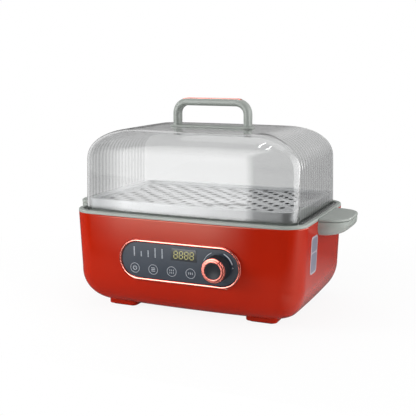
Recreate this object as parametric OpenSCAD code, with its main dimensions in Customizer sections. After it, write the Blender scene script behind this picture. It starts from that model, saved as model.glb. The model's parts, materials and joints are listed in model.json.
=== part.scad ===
// Electric food steamer with a clear lift-off lid, rebuilt from one photo.
// Millimetres, +Z up. The table is z = 0 and the control panel faces -Y.

/* [Body] */
// Width of the red shell along X at its top edge
body_w = 330; // [300:1:360]
// Depth of the red shell along Y at its top edge
body_d = 228; // [212:1:250]
// Height of the red shell from its flat underside to the rim
shell_h = 127; // [120:1:140]
// Wall thickness of the shell
shell_wall = 2.8; // [2.4:0.1:3.4]
// Radius of the upright corners seen from above
corner_r = 30; // [26:1:38]
// How far the front and back stand out in the middle
front_bow = 5; // [2:0.5:7]
// How far the two ends stand out in the middle
side_bow = 1.6; // [0.4:0.2:2.4]
// Lean of the walls in degrees, so that the body narrows downwards
draft_deg = 1.8; // [1:0.1:2.6]
// Height of the rounding along the lower edge
base_rise = 48; // [40:1:54]
// Inward reach of the rounding along the lower edge
base_turn = 38; // [32:1:42]

/* [Underside] */
// Height of the body above the table
foot_h = 6; // [5.5:0.5:10]
// Size of a foot along X
foot_w = 43; // [30:1:46]
// Size of a foot along Y
foot_d = 28; // [22:1:32]
// Thickness of a rubber pad
pad_h = 2.5; // [2:0.1:3.5]
// Size of the access opening along X
open_w = 140; // [130:1:144]
// Size of the access opening along Y
open_d = 106; // [100:1:112]
// Thickness of the cover plate outside the opening
cover_t = 2; // [1.6:0.1:3]

/* [Rim] */
// Height of the rim's outer lip
rim_h = 4; // [3:0.2:5]
// Width of the rim's outer lip
rim_lip = 6.4; // [5:0.2:7]
// Height of the upstand that carries the tray
upstand_h = 17; // [15:0.5:22]
// Thickness of the upstand
upstand_t = 2.4; // [2:0.1:3]

/* [Lid] */
// Height of the lid's top above the red shell
lid_rise = 112.6; // [100:0.2:130]
// Wall thickness of the lid
lid_wall = 2.4; // [2:0.1:3]
// Height of the curved shoulders at the two ends
shoulder_h = 45; // [38:1:54]
// Half length of the flat top between the shoulders
flat_half = 92; // [84:1:100]
// Rounding along the front and back of the top
lid_edge_r = 30; // [12:1:36]
// Lean of the lid's walls in degrees
lid_draft_deg = 1.1; // [0.4:0.1:1.4]

/* [Lid handle] */
// Length of the lid handle over its legs
grip_w = 114; // [100:1:124]
// Height of the lid handle above the lid
grip_h = 39.8; // [36:0.2:48]
// Size of the lid handle along Y
grip_d = 17; // [13:1:20]
// Thickness of the lid handle's bar
bar_t = 10; // [7:0.2:12]
// Thickness of the lid handle's legs
leg_t = 9; // [7.4:0.2:11]

/* [Side handles] */
// Width of a side handle along Y
ear_w = 90; // [80:1:116]
// Distance of the side handles behind the body's middle
ear_shift = 6; // [0:0.5:10]
// Reach of a side handle beyond the body
ear_reach = 36.5; // [32:0.5:40]
// Height of the grip below a side handle's cap
ear_drop = 19; // [15:0.5:22]
// Thickness of a side handle's cap
ear_cap_t = 3.2; // [2.6:0.1:4]

/* [Pan and tray] */
// Depth of the water pan
pan_depth = 68; // [60:1:72]
// Sheet thickness of the water pan
pan_t = 1.2; // [1:0.1:1.6]
// Sheet thickness of the steam tray
tray_t = 0.9; // [0.8:0.1:1.2]
// Distance between slots along a row
slot_pitch = 16.6; // [15:0.2:20]
// Distance between the slanted rows
row_pitch = 20.4; // [18:0.2:24]
// Length of a slot
slot_l = 10.5; // [8:0.5:12]
// Width of a slot
slot_w = 6.4; // [4:0.2:7]

/* [Control panel] */
// Length of the panel's bezel
panel_w = 174; // [166:1:180]
// Height of the panel's bezel
panel_h = 56; // [52:1:60]
// Depth of the panel's centre below the rim
panel_down = 55.5; // [53:0.5:58]
// Width of the bezel's ring
bezel_w = 4; // [3:0.2:5]
// How far the bezel stands out
bezel_out = 2.4; // [1.6:0.2:3.4]
// Diameter of the knob's ring
knob_d = 32.5; // [28:0.5:36]
// How far the knob stands out from the front
knob_out = 18.5; // [15:0.5:22]
// Distance of the knob from the panel's centre
knob_x = 55.2; // [50:0.2:57]

/* [Hidden] */
$fn = 48;

// Gaps: between pieces that are pushed together, and between pieces that move past each other
fit_gap = 0.2;
run_gap = 0.5;
thread_gap = 0.06;

// Levels of the body
rim_z = foot_h + shell_h;
base_z = foot_h + base_rise;
base_inset = (rim_z - base_z) * tan(draft_deg);
floor_z = foot_h + shell_wall;
flat_x = body_w / 2 - base_inset - base_turn;
flat_y = body_d / 2 - base_inset - base_turn;
base_corner_r = 18;

// Points along each part of a section: corners, long sides, ends, and the lower rounding
corner_steps = 6;
long_steps = 8;
end_steps = 4;
turn_steps = 7;

// Cross-section of the rim, measured inward from the body's outline and upward from the shell
channel_z = 0.5;
rim_under = -2;
skirt_in = shell_wall + fit_gap;
skirt_t = 2.4;
skirt_drop = 6;
lid_flange_in = rim_lip + run_gap;
lid_in = lid_flange_in + 4.2;
tray_in = lid_in + lid_wall + 2;
upstand_in = tray_in + tray_t + 0.4;
upstand_end = upstand_in + upstand_t;
ledge_z = 3;
ledge_end = upstand_end + 8.4;

// Lid levels
lid_z = rim_z + channel_z;
lid_top = rim_z + lid_rise;
lid_flange_t = 2.2;
lid_screw_x = grip_w / 2 - leg_t / 2;
lid_screw_r = 2;

// Lid handle, whose corners turn about a centre at each end of the bar
base_plate_t = 2.6;
base_plate_w = grip_w + 8;
base_plate_d = grip_d + 11;
grip_z = lid_top + base_plate_t;
grip_top = lid_top + grip_h;
grip_turn_r = 21;
grip_turn_x = grip_w / 2 - grip_turn_r;
grip_turn_z = grip_top - grip_turn_r;
grip_edge_r = 4.2;
accent_t = 0.8;
accent_angle = 18;

// Side handles seat on flats cut into the two ends of the shell
ear_seat = ear_drop * tan(draft_deg) + side_bow * pow((ear_w + 2 * ear_shift) / body_d, 2) + 0.3;
ear_x = body_w / 2 - ear_seat;
ear_cap_x = body_w / 2 + 0.3;
ear_cap_z = rim_z - 0.4;
ear_groove = 0.8;
ear_grip_z = ear_cap_z - ear_groove;
ear_corner_r = 29;
ear_screw_y = ear_w * 0.3;
ear_screw_z = rim_z - skirt_drop - 5.5;
ear_boss_t = 5;
ear_boss_top = ear_screw_z + 4.5;
ear_boss_low = ear_grip_z - ear_drop - 4.5;

// Pan and heater levels
seal_t = 1.2;
pan_flange_z = rim_z + ledge_z + seal_t;
pan_in = ledge_end + run_gap;
pan_corner_r = 18;
pan_bottom_r = 16;
pan_slope = tan(3);
pan_under_z = pan_flange_z - pan_depth;
plate_t = 6;
plate_z = pan_under_z - plate_t;
element_r = 3.3;
element_bend_r = 28;
element_z = plate_z - element_r;
clamp_t = 2;
clamp_z = element_z - element_r - clamp_t;
clamp_x = 30;
stud_r = 2;
nut_h = 3.2;
nut_r = 4;
clamp_w = 14;
plate_w = 160;
plate_d = 84;
thermostat_r = 8;
thermostat_h = 7.5;
thermostat_w = 26;
flange_t = 1.2;
fuse_r = 2.2;
fuse_l = 18;
fuse_y = 16;
element_end_x = -plate_w / 2 + 14;
element_pin_l = 10;
lead_r = 1.4;
lead_sides = 6;

// Power board and heat shield above the cover
post_h = 6;
board_t = 1.6;
board_z = floor_z + post_h;
board_w = 100;
board_d = 72;
board_hole_x = board_w / 2 - 5;
board_hole_y = board_d / 2 - 5;
block_h = 9;
block_d = 9;
mains_block_w = 30;
heater_block_w = 22;
socket_w = 16;
socket_d = 7;
transformer_w = 26;
transformer_d = 22;
transformer_h = 18;
relay_w = 20;
relay_d = 16;
relay_h = 14;
capacitor_r = 6;
capacitor_h = 15;
mains_block_y = board_d / 2 - 10;
heater_block_x = -board_w / 2 + 12;
socket_x = 14;
socket_y = -board_d / 2 + 8;
shield_t = 0.8;
shield_z = clamp_z - nut_h - 6;
shield_w = 196;
shield_d = 116;

// Tilted frame of the control panel: x to the right, y upward, z outward from the front
panel_z = rim_z - panel_down;
face_y = body_d / 2 - panel_down * tan(draft_deg);
pad_grow = 5;
pad_dip = max(base_z - panel_z + panel_h / 2 + pad_grow, 0) / base_rise;
face_bow = front_bow * pow((panel_w + 2 * pad_grow) / body_w, 2);
face_drop = face_bow + base_turn * (1 - sqrt(1 - pad_dip * pad_dip));
seat_z = -face_drop - 1.2;
pad_back = seat_z - 3.5;
hole_w = panel_w - 2 * bezel_w - 6;
hole_h = panel_h - 2 * bezel_w - 6;
panel_front = 0.6;
board_gap = 7;
pcb_front = seat_z - board_gap;
pcb_w = panel_w - 18;
pcb_h = panel_h - 18;
pcb_post_x = panel_w / 2 - 14.5;
pcb_post_y = 9;
pcb_plug_x = 30;
pcb_plug_y = -8;
pcb_plug_h = 6;
chip_w = 14;
chip_h = 3;
spring_r = 4;
encoder_w = 13;
key_y = -11.7;
key_first = -64;
key_pitch = 27;
lens_x = 7.7;
lens_y = 11.8;
lens_w = 36.8;
lens_h = 16;
bush_r = 4.5;
shaft_r = 3;
bush_top = 5;
encoder_h = 6;
knob_back = panel_front + 1.2;
knob_step = knob_out - 3.5;
knob_ring_inner = 11;

// Socket at the back, in a frame like the panel's but turned to face +Y
inlet_down = 60;
inlet_z = rim_z - inlet_down;
back_y = body_d / 2 - inlet_down * tan(draft_deg);
inlet_flange_w = 52;
inlet_flange_h = 26;
inlet_flange_t = 2.4;
inlet_screw_x = 20;
inlet_body_w = 29;
inlet_body_h = 21;
inlet_body_depth = 17;
inlet_pin_r = 1.2;
inlet_pin_tail = 3.5;
inlet_pin_tip = 5;
inlet_pin_spots = [[-7, -2.5], [0, 2.5], [7, -2.5]];
inlet_seat = -front_bow * pow((inlet_flange_w + 12) / body_w, 2) - 1.8;

// Screws: radius of the shank and of the head, and height of the head
m25_r = 1.25;
m25_head_r = 2.5;
m25_head_h = 1.6;
m3_r = 1.5;
m3_head_r = 3;
m3_head_h = 2;
hole_slack = 0.4;
board_screw_l = 7;
panel_screw_l = 6;
cover_screw_l = 9;
ear_screw_l = 7;

// Feet, the cover's screws and its vents, placed from the flat underside
foot_corner_r = 6;
foot_edge = 1;
pad_margin = 4;
pad_corner_r = 5;
vent_l = 20;
vent_w = 3;
vent_pitch = 7;
vent_y = 14;
foot_x = flat_x - foot_w / 2 - foot_edge;
foot_y = flat_y - foot_d / 2 + 7.5;
pad_step = 1;
cover_screw_x = open_w / 2 + 5;
cover_screw_y = open_d / 2 - 18;
cover_edge = 10;

// The whole object is moved along Y so that its overall box is centred on the origin
front_reach = face_y + knob_out * cos(draft_deg) + knob_d / 2 * sin(draft_deg);
centre_y = (front_reach - body_d / 2) / 2;

red = [0.62, 0.10, 0.07];
grey = [0.62, 0.65, 0.62];
dark = [0.16, 0.18, 0.21];
copper = [0.80, 0.52, 0.40];
steel = [0.75, 0.76, 0.77];
rubber = [0.08, 0.08, 0.08];

// Points on a quarter circle that starts at the given angle
function corner(cx, cy, r, start) = [
    for (i = [0:corner_steps])
        let (a = start + 90 * i / corner_steps)
        [cx + r * cos(a), cy + r * sin(a)]
];

// Points between two ends of a straight side, without the ends
function side(a, b, steps) = [for (i = [1:steps - 1]) a + (b - a) * i / steps];

// Rounded rectangle with half sizes hx and hy, anticlockwise from above
function round_rect(hx, hy, r) = let (cx = hx - r, cy = hy - r) concat(
    corner(cx, cy, r, 0),
    side([cx, hy], [-cx, hy], long_steps),
    corner(-cx, cy, r, 90),
    side([-hx, cy], [-hx, -cy], end_steps),
    corner(-cx, -cy, r, 180),
    side([-cx, -hy], [cx, -hy], long_steps),
    corner(cx, -cy, r, 270),
    side([hx, -cy], [hx, cy], end_steps)
);

// The same outline with its sides bowed outward, so that only their middles reach the half sizes
function outline(hx, hy, r) = [
    for (p = round_rect(hx, hy, r))
        [p.x * (1 - side_bow / hx * pow(p.y / hy, 2)), p.y * (1 - front_bow / hy * pow(p.x / hx, 2))]
];

// A flat outline raised to a level
function lift(points, z) = [for (p = points) [p.x, p.y, z]];

// The body's own outline, moved inward
function body_ring(inset, z, least_r = 5) =
    lift(outline(body_w / 2 - inset, body_d / 2 - inset, max(corner_r - inset, least_r)), z);

// Triangles between neighbouring sections of n points each
function skin_faces(sections, n, closed) = [
    for (i = [0:sections - (closed ? 1 : 2)])
        for (j = [0:n - 1])
            let (k = (i + 1) % sections, m = (j + 1) % n)
            each [[i * n + j, k * n + j, k * n + m], [i * n + j, k * n + m, i * n + m]]
];

// A solid skinned over sections, with flat ends at the first and the last
module loft(rings) {
    n = len(rings[0]);
    count = len(rings);
    first = [for (j = [0:n - 1]) j];
    last = [for (j = [n - 1:-1:0]) (count - 1) * n + j];
    polyhedron([for (ring = rings) each ring], concat(skin_faces(count, n, false), [first, last]), 10);
}

// A solid ring skinned over sections that go all the way round its cross-section
module ring_loft(rings) {
    n = len(rings[0]);
    polyhedron([for (ring = rings) each ring], skin_faces(len(rings), n, true), 10);
}

// Flat shapes
module capsule(w, h) {
    square([w - h, h], center = true);
    for (s = [-1, 1])
        translate([s * (w - h) / 2, 0])
            circle(h / 2);
}

module plate(w, d, r) {
    square([w - 2 * r, d], center = true);
    square([w, d - 2 * r], center = true);
    for (x = [-1, 1], y = [-1, 1])
        translate([x * (w / 2 - r), y * (d / 2 - r)])
            circle(r);
}

// A screw with its shank pointing up from z = 0 and its head below
module screw(shank_r, shank_l, head_r, head_h) {
    difference() {
        union() {
            cylinder(r = shank_r, h = shank_l);
            translate([0, 0, -head_h])
                cylinder(r = head_r, h = head_h);
        }
        for (a = [0, 90])
            translate([0, 0, -head_h])
                rotate(a)
                    cube([head_r * 1.2, 0.7, head_h], center = true);
    }
}

// Frames
module place() {
    translate([0, centre_y, 0])
        children();
}

module on_front() {
    translate([0, -face_y, panel_z])
        rotate([90 + draft_deg, 0, 0])
            children();
}

module on_back() {
    translate([0, back_y, inlet_z])
        rotate([90 + draft_deg, 0, 180])
            children();
}

module at_corners(x, y) {
    for (sx = [-1, 1], sy = [-1, 1])
        translate([sx * x, sy * y, 0])
            children();
}

// Shell section on the lower rounding, from upright at 0 degrees to level at 90
function shell_ring(angle, wall) =
    let (inset = base_inset + wall + (base_turn - wall) * (1 - cos(angle)))
    let (r = corner_r + (base_corner_r - corner_r) * angle / 90 - wall)
    lift(outline(body_w / 2 - inset, body_d / 2 - inset, r), base_z - (base_rise - wall) * sin(angle));

function turn_angle(i) = 90 * i / turn_steps;

module shell_form() {
    opening = round_rect(open_w / 2, open_d / 2, 8);
    ring_loft(concat(
        [for (i = [turn_steps:-1:0]) shell_ring(turn_angle(i), 0)],
        [body_ring(0, rim_z), body_ring(shell_wall, rim_z)],
        [for (i = [0:turn_steps]) shell_ring(turn_angle(i), shell_wall)],
        [lift(opening, floor_z), lift(opening, foot_h)]
    ));
}

// The shell's outside as a solid block
module shell_block() {
    loft(concat(
        [for (i = [turn_steps:-1:0]) shell_ring(turn_angle(i), 0)],
        [body_ring(0, rim_z)]
    ));
}

module ear_screw_places() {
    for (end = [-1, 1], y = [-1, 1])
        translate([end * (ear_x - ear_boss_t), ear_shift + y * ear_screw_y, ear_screw_z])
            rotate([0, end * 90, 0])
                children();
}

module housing() {
    color(red) place() difference() {
        union() {
            shell_form();
            on_front()
                translate([0, 0, pad_back])
                    linear_extrude(seat_z + 1 - pad_back)
                        capsule(panel_w + 2 * pad_grow, panel_h + 2 * pad_grow);
            on_back()
                translate([0, 0, inlet_seat - 3])
                    linear_extrude(3)
                        plate(inlet_flange_w + 8, inlet_flange_h + 8, 6);
            for (end = [-1, 1])
                translate([end * (ear_x - ear_boss_t / 2), ear_shift, (ear_boss_low + ear_boss_top) / 2])
                    cube([ear_boss_t, ear_w - 16, ear_boss_top - ear_boss_low], center = true);
            at_corners(cover_screw_x, cover_screw_y)
                translate([0, 0, foot_h])
                    cylinder(r = m3_head_r + 1, h = cover_screw_l + 3);
        }
        on_front() {
            translate([0, 0, seat_z])
                linear_extrude(20)
                    capsule(panel_w + 2 * fit_gap, panel_h + 2 * fit_gap);
            translate([0, 0, pad_back - 10])
                linear_extrude(30)
                    capsule(hole_w, hole_h);
        }
        on_back() {
            translate([0, 0, inlet_seat])
                linear_extrude(10)
                    plate(inlet_flange_w + 2 * fit_gap, inlet_flange_h + 2 * fit_gap, 4);
            translate([0, 0, -15])
                linear_extrude(30)
                    plate(inlet_body_w + 2 * fit_gap, inlet_body_h + 2 * fit_gap, 3);
            for (s = [-1, 1])
                translate([s * inlet_screw_x, 0, -15])
                    cylinder(r = m25_r + thread_gap, h = 30);
        }
        for (end = [-1, 1])
            translate([end * (ear_x + 10), ear_shift, ear_grip_z - ear_drop / 2 + 10])
                cube([20, ear_w + 2 * fit_gap, ear_drop + 20], center = true);
        ear_screw_places()
            translate([0, 0, -10])
                cylinder(r = m3_r + hole_slack, h = 30);
        at_corners(cover_screw_x, cover_screw_y)
            translate([0, 0, foot_h - 1])
                cylinder(r = m3_r + thread_gap, h = cover_screw_l + 2);
        at_corners(foot_x, foot_y)
            translate([0, 0, foot_h - 1])
                cylinder(r = m3_r + hole_slack, h = 10);
    }
}

module bottom_cover() {
    vents = 9;
    color(dark) place() difference() {
        union() {
            translate([0, 0, foot_h - cover_t])
                linear_extrude(cover_t)
                    plate(open_w + 2 * cover_edge, open_d + 2 * cover_edge, 12);
            translate([0, 0, foot_h])
                linear_extrude(shell_wall)
                    plate(open_w - 2 * run_gap, open_d - 2 * run_gap, 8);
            at_corners(board_hole_x, board_hole_y)
                translate([0, 0, foot_h])
                    cylinder(r = m25_head_r + 1, h = board_z - foot_h);
        }
        at_corners(cover_screw_x, cover_screw_y)
            translate([0, 0, foot_h - cover_t - 1])
                cylinder(r = m3_r + hole_slack, h = cover_t + 2);
        at_corners(board_hole_x, board_hole_y)
            translate([0, 0, foot_h + 1])
                cylinder(r = m25_r + thread_gap, h = board_z);
        at_corners(foot_x, foot_y)
            translate([0, 0, -run_gap])
                linear_extrude(foot_h + run_gap)
                    plate(foot_w + 2 * run_gap, foot_d + 2 * run_gap, foot_corner_r + run_gap);
        for (i = [0:vents - 1], s = [-1, 1])
            translate([(i - (vents - 1) / 2) * vent_pitch, s * vent_y, foot_h - cover_t - 1])
                linear_extrude(shell_wall + cover_t + 2)
                    rotate(90)
                        capsule(vent_l, vent_w);
    }
}

module cover_screws() {
    color(steel) place()
        at_corners(cover_screw_x, cover_screw_y)
            translate([0, 0, foot_h - cover_t])
                screw(m3_r, cover_screw_l, m3_head_r, m3_head_h);
}

// Each foot is a block cut to the shell's rounded underside
module feet() {
    color(red) place()
        difference() {
            at_corners(foot_x, foot_y)
                translate([0, 0, pad_h - pad_step])
                    linear_extrude(foot_h + foot_corner_r)
                        plate(foot_w, foot_d, foot_corner_r);
            shell_block();
            at_corners(foot_x, foot_y) {
                linear_extrude(pad_h)
                    plate(foot_w - 2 * pad_margin, foot_d - 2 * pad_margin, pad_corner_r);
                cylinder(r = m3_r + thread_gap, h = foot_h + 1);
            }
        }
}

module foot_pads() {
    color(rubber) place()
        at_corners(foot_x, foot_y)
            linear_extrude(pad_h)
                plate(foot_w - 2 * (pad_margin + fit_gap), foot_d - 2 * (pad_margin + fit_gap),
                    pad_corner_r - fit_gap);
}

module foot_screws() {
    color(steel) place()
        at_corners(foot_x, foot_y)
            translate([0, 0, floor_z])
                rotate([180, 0, 0])
                    screw(m3_r, shell_wall + foot_h - pad_h - 1, m3_head_r, m3_head_h);
}

module rim_trim() {
    section = [
        [0, 0], [0, rim_h - 1.6], [0.5, rim_h - 0.5], [1.6, rim_h],
        [rim_lip - 1, rim_h], [rim_lip - 0.2, rim_h - 0.4], [rim_lip, rim_h - 1.2],
        [rim_lip, channel_z], [upstand_in, channel_z], [upstand_in, upstand_h], [upstand_end, upstand_h],
        [upstand_end, ledge_z], [ledge_end, ledge_z], [ledge_end, rim_under],
        [skirt_in + skirt_t, rim_under], [skirt_in + skirt_t, -skirt_drop], [skirt_in, -skirt_drop],
        [skirt_in, 0]
    ];
    color(grey) place()
        ring_loft([for (p = section) body_ring(p.x, rim_z + p.y)]);
}

module pan_seal() {
    outer = upstand_end + fit_gap;
    color([0.85, 0.85, 0.83]) place()
        ring_loft([
            body_ring(outer, rim_z + ledge_z), body_ring(outer, pan_flange_z),
            body_ring(ledge_end, pan_flange_z), body_ring(ledge_end, rim_z + ledge_z)
        ]);
}

// Pan section: wall 0 is the outer face and wall pan_t the inner face
function pan_ring(angle, wall) =
    let (depth = pan_depth - pan_bottom_r)
    let (inset = pan_in + wall + depth * pan_slope + (pan_bottom_r - wall) * (1 - cos(angle)))
    let (z = pan_flange_z - depth - (pan_bottom_r - wall) * sin(angle))
    lift(outline(body_w / 2 - inset, body_d / 2 - inset, pan_corner_r - wall), z);

function pan_mouth(inset, z) =
    lift(outline(body_w / 2 - inset, body_d / 2 - inset, pan_corner_r), z);

module water_pan() {
    steps = 4;
    edge = upstand_end + 2 * fit_gap;
    color(steel) place() {
        loft(concat(
            [for (i = [steps:-1:0]) pan_ring(90 * i / steps, 0)],
            [pan_mouth(pan_in, pan_flange_z), body_ring(edge, pan_flange_z),
                body_ring(edge, pan_flange_z + pan_t), pan_mouth(pan_in + pan_t, pan_flange_z + pan_t)],
            [for (i = [0:steps]) pan_ring(90 * i / steps, pan_t)]
        ));
        for (s = [-1, 1])
            translate([s * clamp_x, 0, clamp_z - nut_h - 1.5])
                cylinder(r = stud_r, h = pan_under_z - clamp_z + nut_h + 1.5 + pan_t / 2);
    }
}

module heating_plate() {
    color(steel) place() difference() {
        translate([0, 0, plate_z])
            linear_extrude(plate_t)
                plate(plate_w, plate_d, 14);
        for (s = [-1, 1])
            translate([s * clamp_x, 0, plate_z - 1])
                cylinder(r = stud_r + 0.3, h = plate_t + 2);
    }
}

module heating_element() {
    bend_x = plate_w / 2 - element_bend_r - element_r - 3;
    color([0.35, 0.36, 0.36]) place()
        translate([0, 0, element_z]) {
            translate([bend_x, 0, 0])
                rotate(-90)
                    rotate_extrude(angle = 180)
                        translate([element_bend_r, 0])
                            circle(element_r);
            for (s = [-1, 1])
                translate([element_end_x, s * element_bend_r, 0])
                    rotate([0, 90, 0]) {
                        cylinder(r = element_r, h = bend_x - element_end_x);
                        translate([0, 0, -element_pin_l])
                            cylinder(r = 1.6, h = element_pin_l + 1);
                    }
        }
}

module element_clamps() {
    color(steel) place()
        for (s = [-1, 1])
            translate([s * clamp_x, 0, clamp_z])
                difference() {
                    linear_extrude(clamp_t)
                        plate(clamp_w, 2 * element_bend_r + clamp_w, 4);
                    translate([0, 0, -1])
                        cylinder(r = stud_r + 0.3, h = clamp_t + 2);
                }
}

module clamp_nuts() {
    color(steel) place()
        for (s = [-1, 1])
            translate([s * clamp_x, 0, clamp_z - nut_h])
                difference() {
                    cylinder(r = nut_r, h = nut_h, $fn = 6);
                    translate([0, 0, -1])
                        cylinder(r = stud_r + thread_gap, h = nut_h + 2);
                }
}

module thermostat() {
    color([0.82, 0.78, 0.70]) place()
        translate([0, 0, plate_z]) {
            translate([0, 0, -flange_t])
                linear_extrude(flange_t)
                    capsule(thermostat_w, 1.5 * thermostat_r);
            translate([0, 0, -thermostat_h - 0.5])
                cylinder(r = thermostat_r, h = thermostat_h);
            for (s = [-1, 1])
                translate([0, s * 3.5, -thermostat_h - 3])
                    cube([5, 0.8, 6], center = true);
        }
}

module thermal_fuse() {
    color([0.80, 0.80, 0.76]) place()
        translate([0, fuse_y, plate_z]) {
            translate([0, 0, -shield_t / 2])
                cube([14, 6, shield_t], center = true);
            translate([-fuse_l / 2, 0, -fuse_r - 0.6])
                rotate([0, 90, 0])
                    cylinder(r = fuse_r, h = fuse_l);
        }
}

module heat_shield() {
    leg_x = shield_w / 2 - shield_t;
    leg_w = 18;
    color(steel) place() {
        translate([0, 0, shield_z])
            linear_extrude(shield_t)
                plate(shield_w, shield_d, 10);
        for (end = [-1, 1], s = [-1, 1])
            translate([end * leg_x, s * 24, 0]) {
                translate([-shield_t / 2, -leg_w / 2, floor_z])
                    cube([shield_t, leg_w, shield_z - floor_z + shield_t / 2]);
                translate([end * 4, 0, floor_z + shield_t / 2])
                    cube([10, leg_w, shield_t], center = true);
            }
    }
}

module panel_bezel() {
    color(copper) place() on_front()
        translate([0, 0, seat_z])
            linear_extrude(bezel_out - seat_z)
                difference() {
                    capsule(panel_w, panel_h);
                    capsule(panel_w - 2 * bezel_w, panel_h - 2 * bezel_w);
                }
}

module pcb_posts() {
    at_corners(pcb_post_x, pcb_post_y)
        children();
}

module control_panel() {
    color(dark) place() on_front()
        difference() {
            union() {
                translate([0, 0, seat_z])
                    linear_extrude(panel_front - seat_z)
                        capsule(panel_w - 2 * bezel_w - 2 * fit_gap, panel_h - 2 * bezel_w - 2 * fit_gap);
                pcb_posts()
                    translate([0, 0, pcb_front])
                        cylinder(r = m25_head_r + 0.3, h = board_gap + 1);
            }
            translate([lens_x, lens_y, 0])
                cube([lens_w, lens_h, 20], center = true);
            translate([knob_x, 0, -10])
                cylinder(r = bush_r + fit_gap, h = 20);
            pcb_posts()
                translate([0, 0, pcb_front - 1])
                    cylinder(r = m25_r + thread_gap, h = board_gap);
        }
}

module display_lens() {
    color([0.12, 0.08, 0.06]) place() on_front()
        translate([lens_x, lens_y, (seat_z + panel_front) / 2])
            cube([lens_w - 2 * fit_gap, lens_h - 2 * fit_gap, panel_front - seat_z], center = true);
}

module display_module() {
    color([0.20, 0.20, 0.20]) place() on_front()
        translate([lens_x, lens_y, seat_z - board_gap / 2])
            cube([lens_w - 1, lens_h - 1, board_gap], center = true);
}

module control_board() {
    color([0.05, 0.30, 0.15]) place() on_front()
        difference() {
            union() {
                translate([0, 0, pcb_front - board_t])
                    linear_extrude(board_t)
                        plate(pcb_w, pcb_h, 3);
                translate([-20, 4, pcb_front - board_t - chip_h])
                    linear_extrude(chip_h + board_t / 2)
                        square(chip_w, center = true);
                translate([pcb_plug_x, pcb_plug_y, pcb_front - board_t - pcb_plug_h])
                    linear_extrude(pcb_plug_h + board_t / 2)
                        square([16, 6], center = true);
            }
            pcb_posts()
                translate([0, 0, pcb_front - board_t - 1])
                    cylinder(r = m25_r + hole_slack, h = board_t + 2);
        }
}

module touch_springs() {
    color(steel) place() on_front()
        for (i = [0:3])
            translate([key_first + i * key_pitch, key_y, pcb_front])
                cylinder(r = spring_r, h = board_gap);
}

module rotary_encoder() {
    color([0.45, 0.46, 0.47]) place() on_front()
        translate([knob_x, 0, pcb_front])
            difference() {
                union() {
                    translate([0, 0, encoder_h / 2])
                        cube([encoder_w, encoder_w, encoder_h], center = true);
                    cylinder(r = bush_r, h = bush_top - pcb_front);
                }
                translate([0, 0, 2])
                    cylinder(r = shaft_r + 0.3, h = bush_top - pcb_front);
            }
}

module panel_screws() {
    color(steel) place() on_front()
        pcb_posts()
            translate([0, 0, pcb_front - board_t])
                screw(m25_r, panel_screw_l, m25_head_r, m25_head_h);
}

module power_board() {
    color([0.05, 0.30, 0.15]) place()
        difference() {
            translate([0, 0, board_z]) {
                linear_extrude(board_t)
                    plate(board_w, board_d, 3);
                translate([-14, -6, transformer_h / 2])
                    cube([transformer_w, transformer_d, transformer_h], center = true);
                translate([20, 2, relay_h / 2])
                    cube([relay_w, relay_d, relay_h], center = true);
                translate([34, -18, 0])
                    cylinder(r = capacitor_r, h = capacitor_h);
                translate([0, mains_block_y, block_h / 2])
                    cube([mains_block_w, block_d, block_h], center = true);
                translate([heater_block_x, 0, block_h / 2])
                    cube([block_d, heater_block_w, block_h], center = true);
                translate([socket_x, socket_y, block_h / 2])
                    cube([socket_w, socket_d, block_h], center = true);
            }
            at_corners(board_hole_x, board_hole_y)
                translate([0, 0, board_z - 1])
                    cylinder(r = m25_r + hole_slack, h = board_t + 2);
        }
}

module board_screws() {
    color(steel) place()
        at_corners(board_hole_x, board_hole_y)
            translate([0, 0, board_z + board_t])
                rotate([180, 0, 0])
                    screw(m25_r, board_screw_l, m25_head_r, m25_head_h);
}

module power_inlet() {
    recess_w = inlet_body_w - 4;
    recess_h = inlet_body_h - 4;
    color(rubber) place() on_back()
        difference() {
            union() {
                translate([0, 0, inlet_seat])
                    linear_extrude(inlet_flange_t)
                        plate(inlet_flange_w, inlet_flange_h, 4);
                translate([0, 0, inlet_seat - inlet_body_depth])
                    linear_extrude(inlet_body_depth + 1)
                        plate(inlet_body_w, inlet_body_h, 3);
            }
            translate([0, 0, inlet_seat - inlet_body_depth + 3])
                linear_extrude(inlet_body_depth + 10)
                    plate(recess_w, recess_h, 2);
            for (s = [-1, 1])
                translate([s * inlet_screw_x, 0, inlet_seat - 1])
                    cylinder(r = m25_r + hole_slack, h = inlet_flange_t + 2);
            inlet_pin_places()
                translate([0, 0, inlet_seat - inlet_body_depth - 1])
                    cylinder(r = inlet_pin_r, h = 5);
        }
}

module inlet_pin_places() {
    for (p = inlet_pin_spots)
        translate([p.x, p.y, 0])
            children();
}

module inlet_pins() {
    color(steel) place() on_back()
        inlet_pin_places()
            translate([0, 0, inlet_seat - inlet_body_depth - inlet_pin_tail])
                cylinder(r = inlet_pin_r - thread_gap, h = inlet_body_depth + inlet_pin_tail - inlet_pin_tip);
}

module inlet_screws() {
    color(steel) place() on_back()
        for (s = [-1, 1])
            translate([s * inlet_screw_x, 0, inlet_seat + inlet_flange_t])
                rotate([180, 0, 0])
                    screw(m25_r, board_screw_l, m25_head_r, m25_head_h);
}

// A path with its corners cut, keeping its two ends
function eased(path) = concat(
    [path[0]],
    [for (i = [0:len(path) - 2])
        each [path[i] * 0.75 + path[i + 1] * 0.25, path[i] * 0.25 + path[i + 1] * 0.75]],
    [path[len(path) - 1]]
);

// Section of a lead at one point of its path, square to the path and level with a side direction
function lead_ring(path, i, r, level) =
    let (ahead = path[min(i + 1, len(path) - 1)] - path[max(i - 1, 0)], along = ahead / norm(ahead))
    let (cross_way = cross(level, along), across = cross_way / norm(cross_way), up = cross(along, across))
    [for (k = [0:lead_sides - 1])
        let (a = 360 * k / lead_sides)
        path[i] + r * cos(a) * across + r * sin(a) * up];

// A lead along a path whose bends are eased
module lead(corners, r, level) {
    path = eased(eased(corners));
    loft([for (i = [0:len(path) - 1]) lead_ring(path, i, r, level)]);
}

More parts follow.
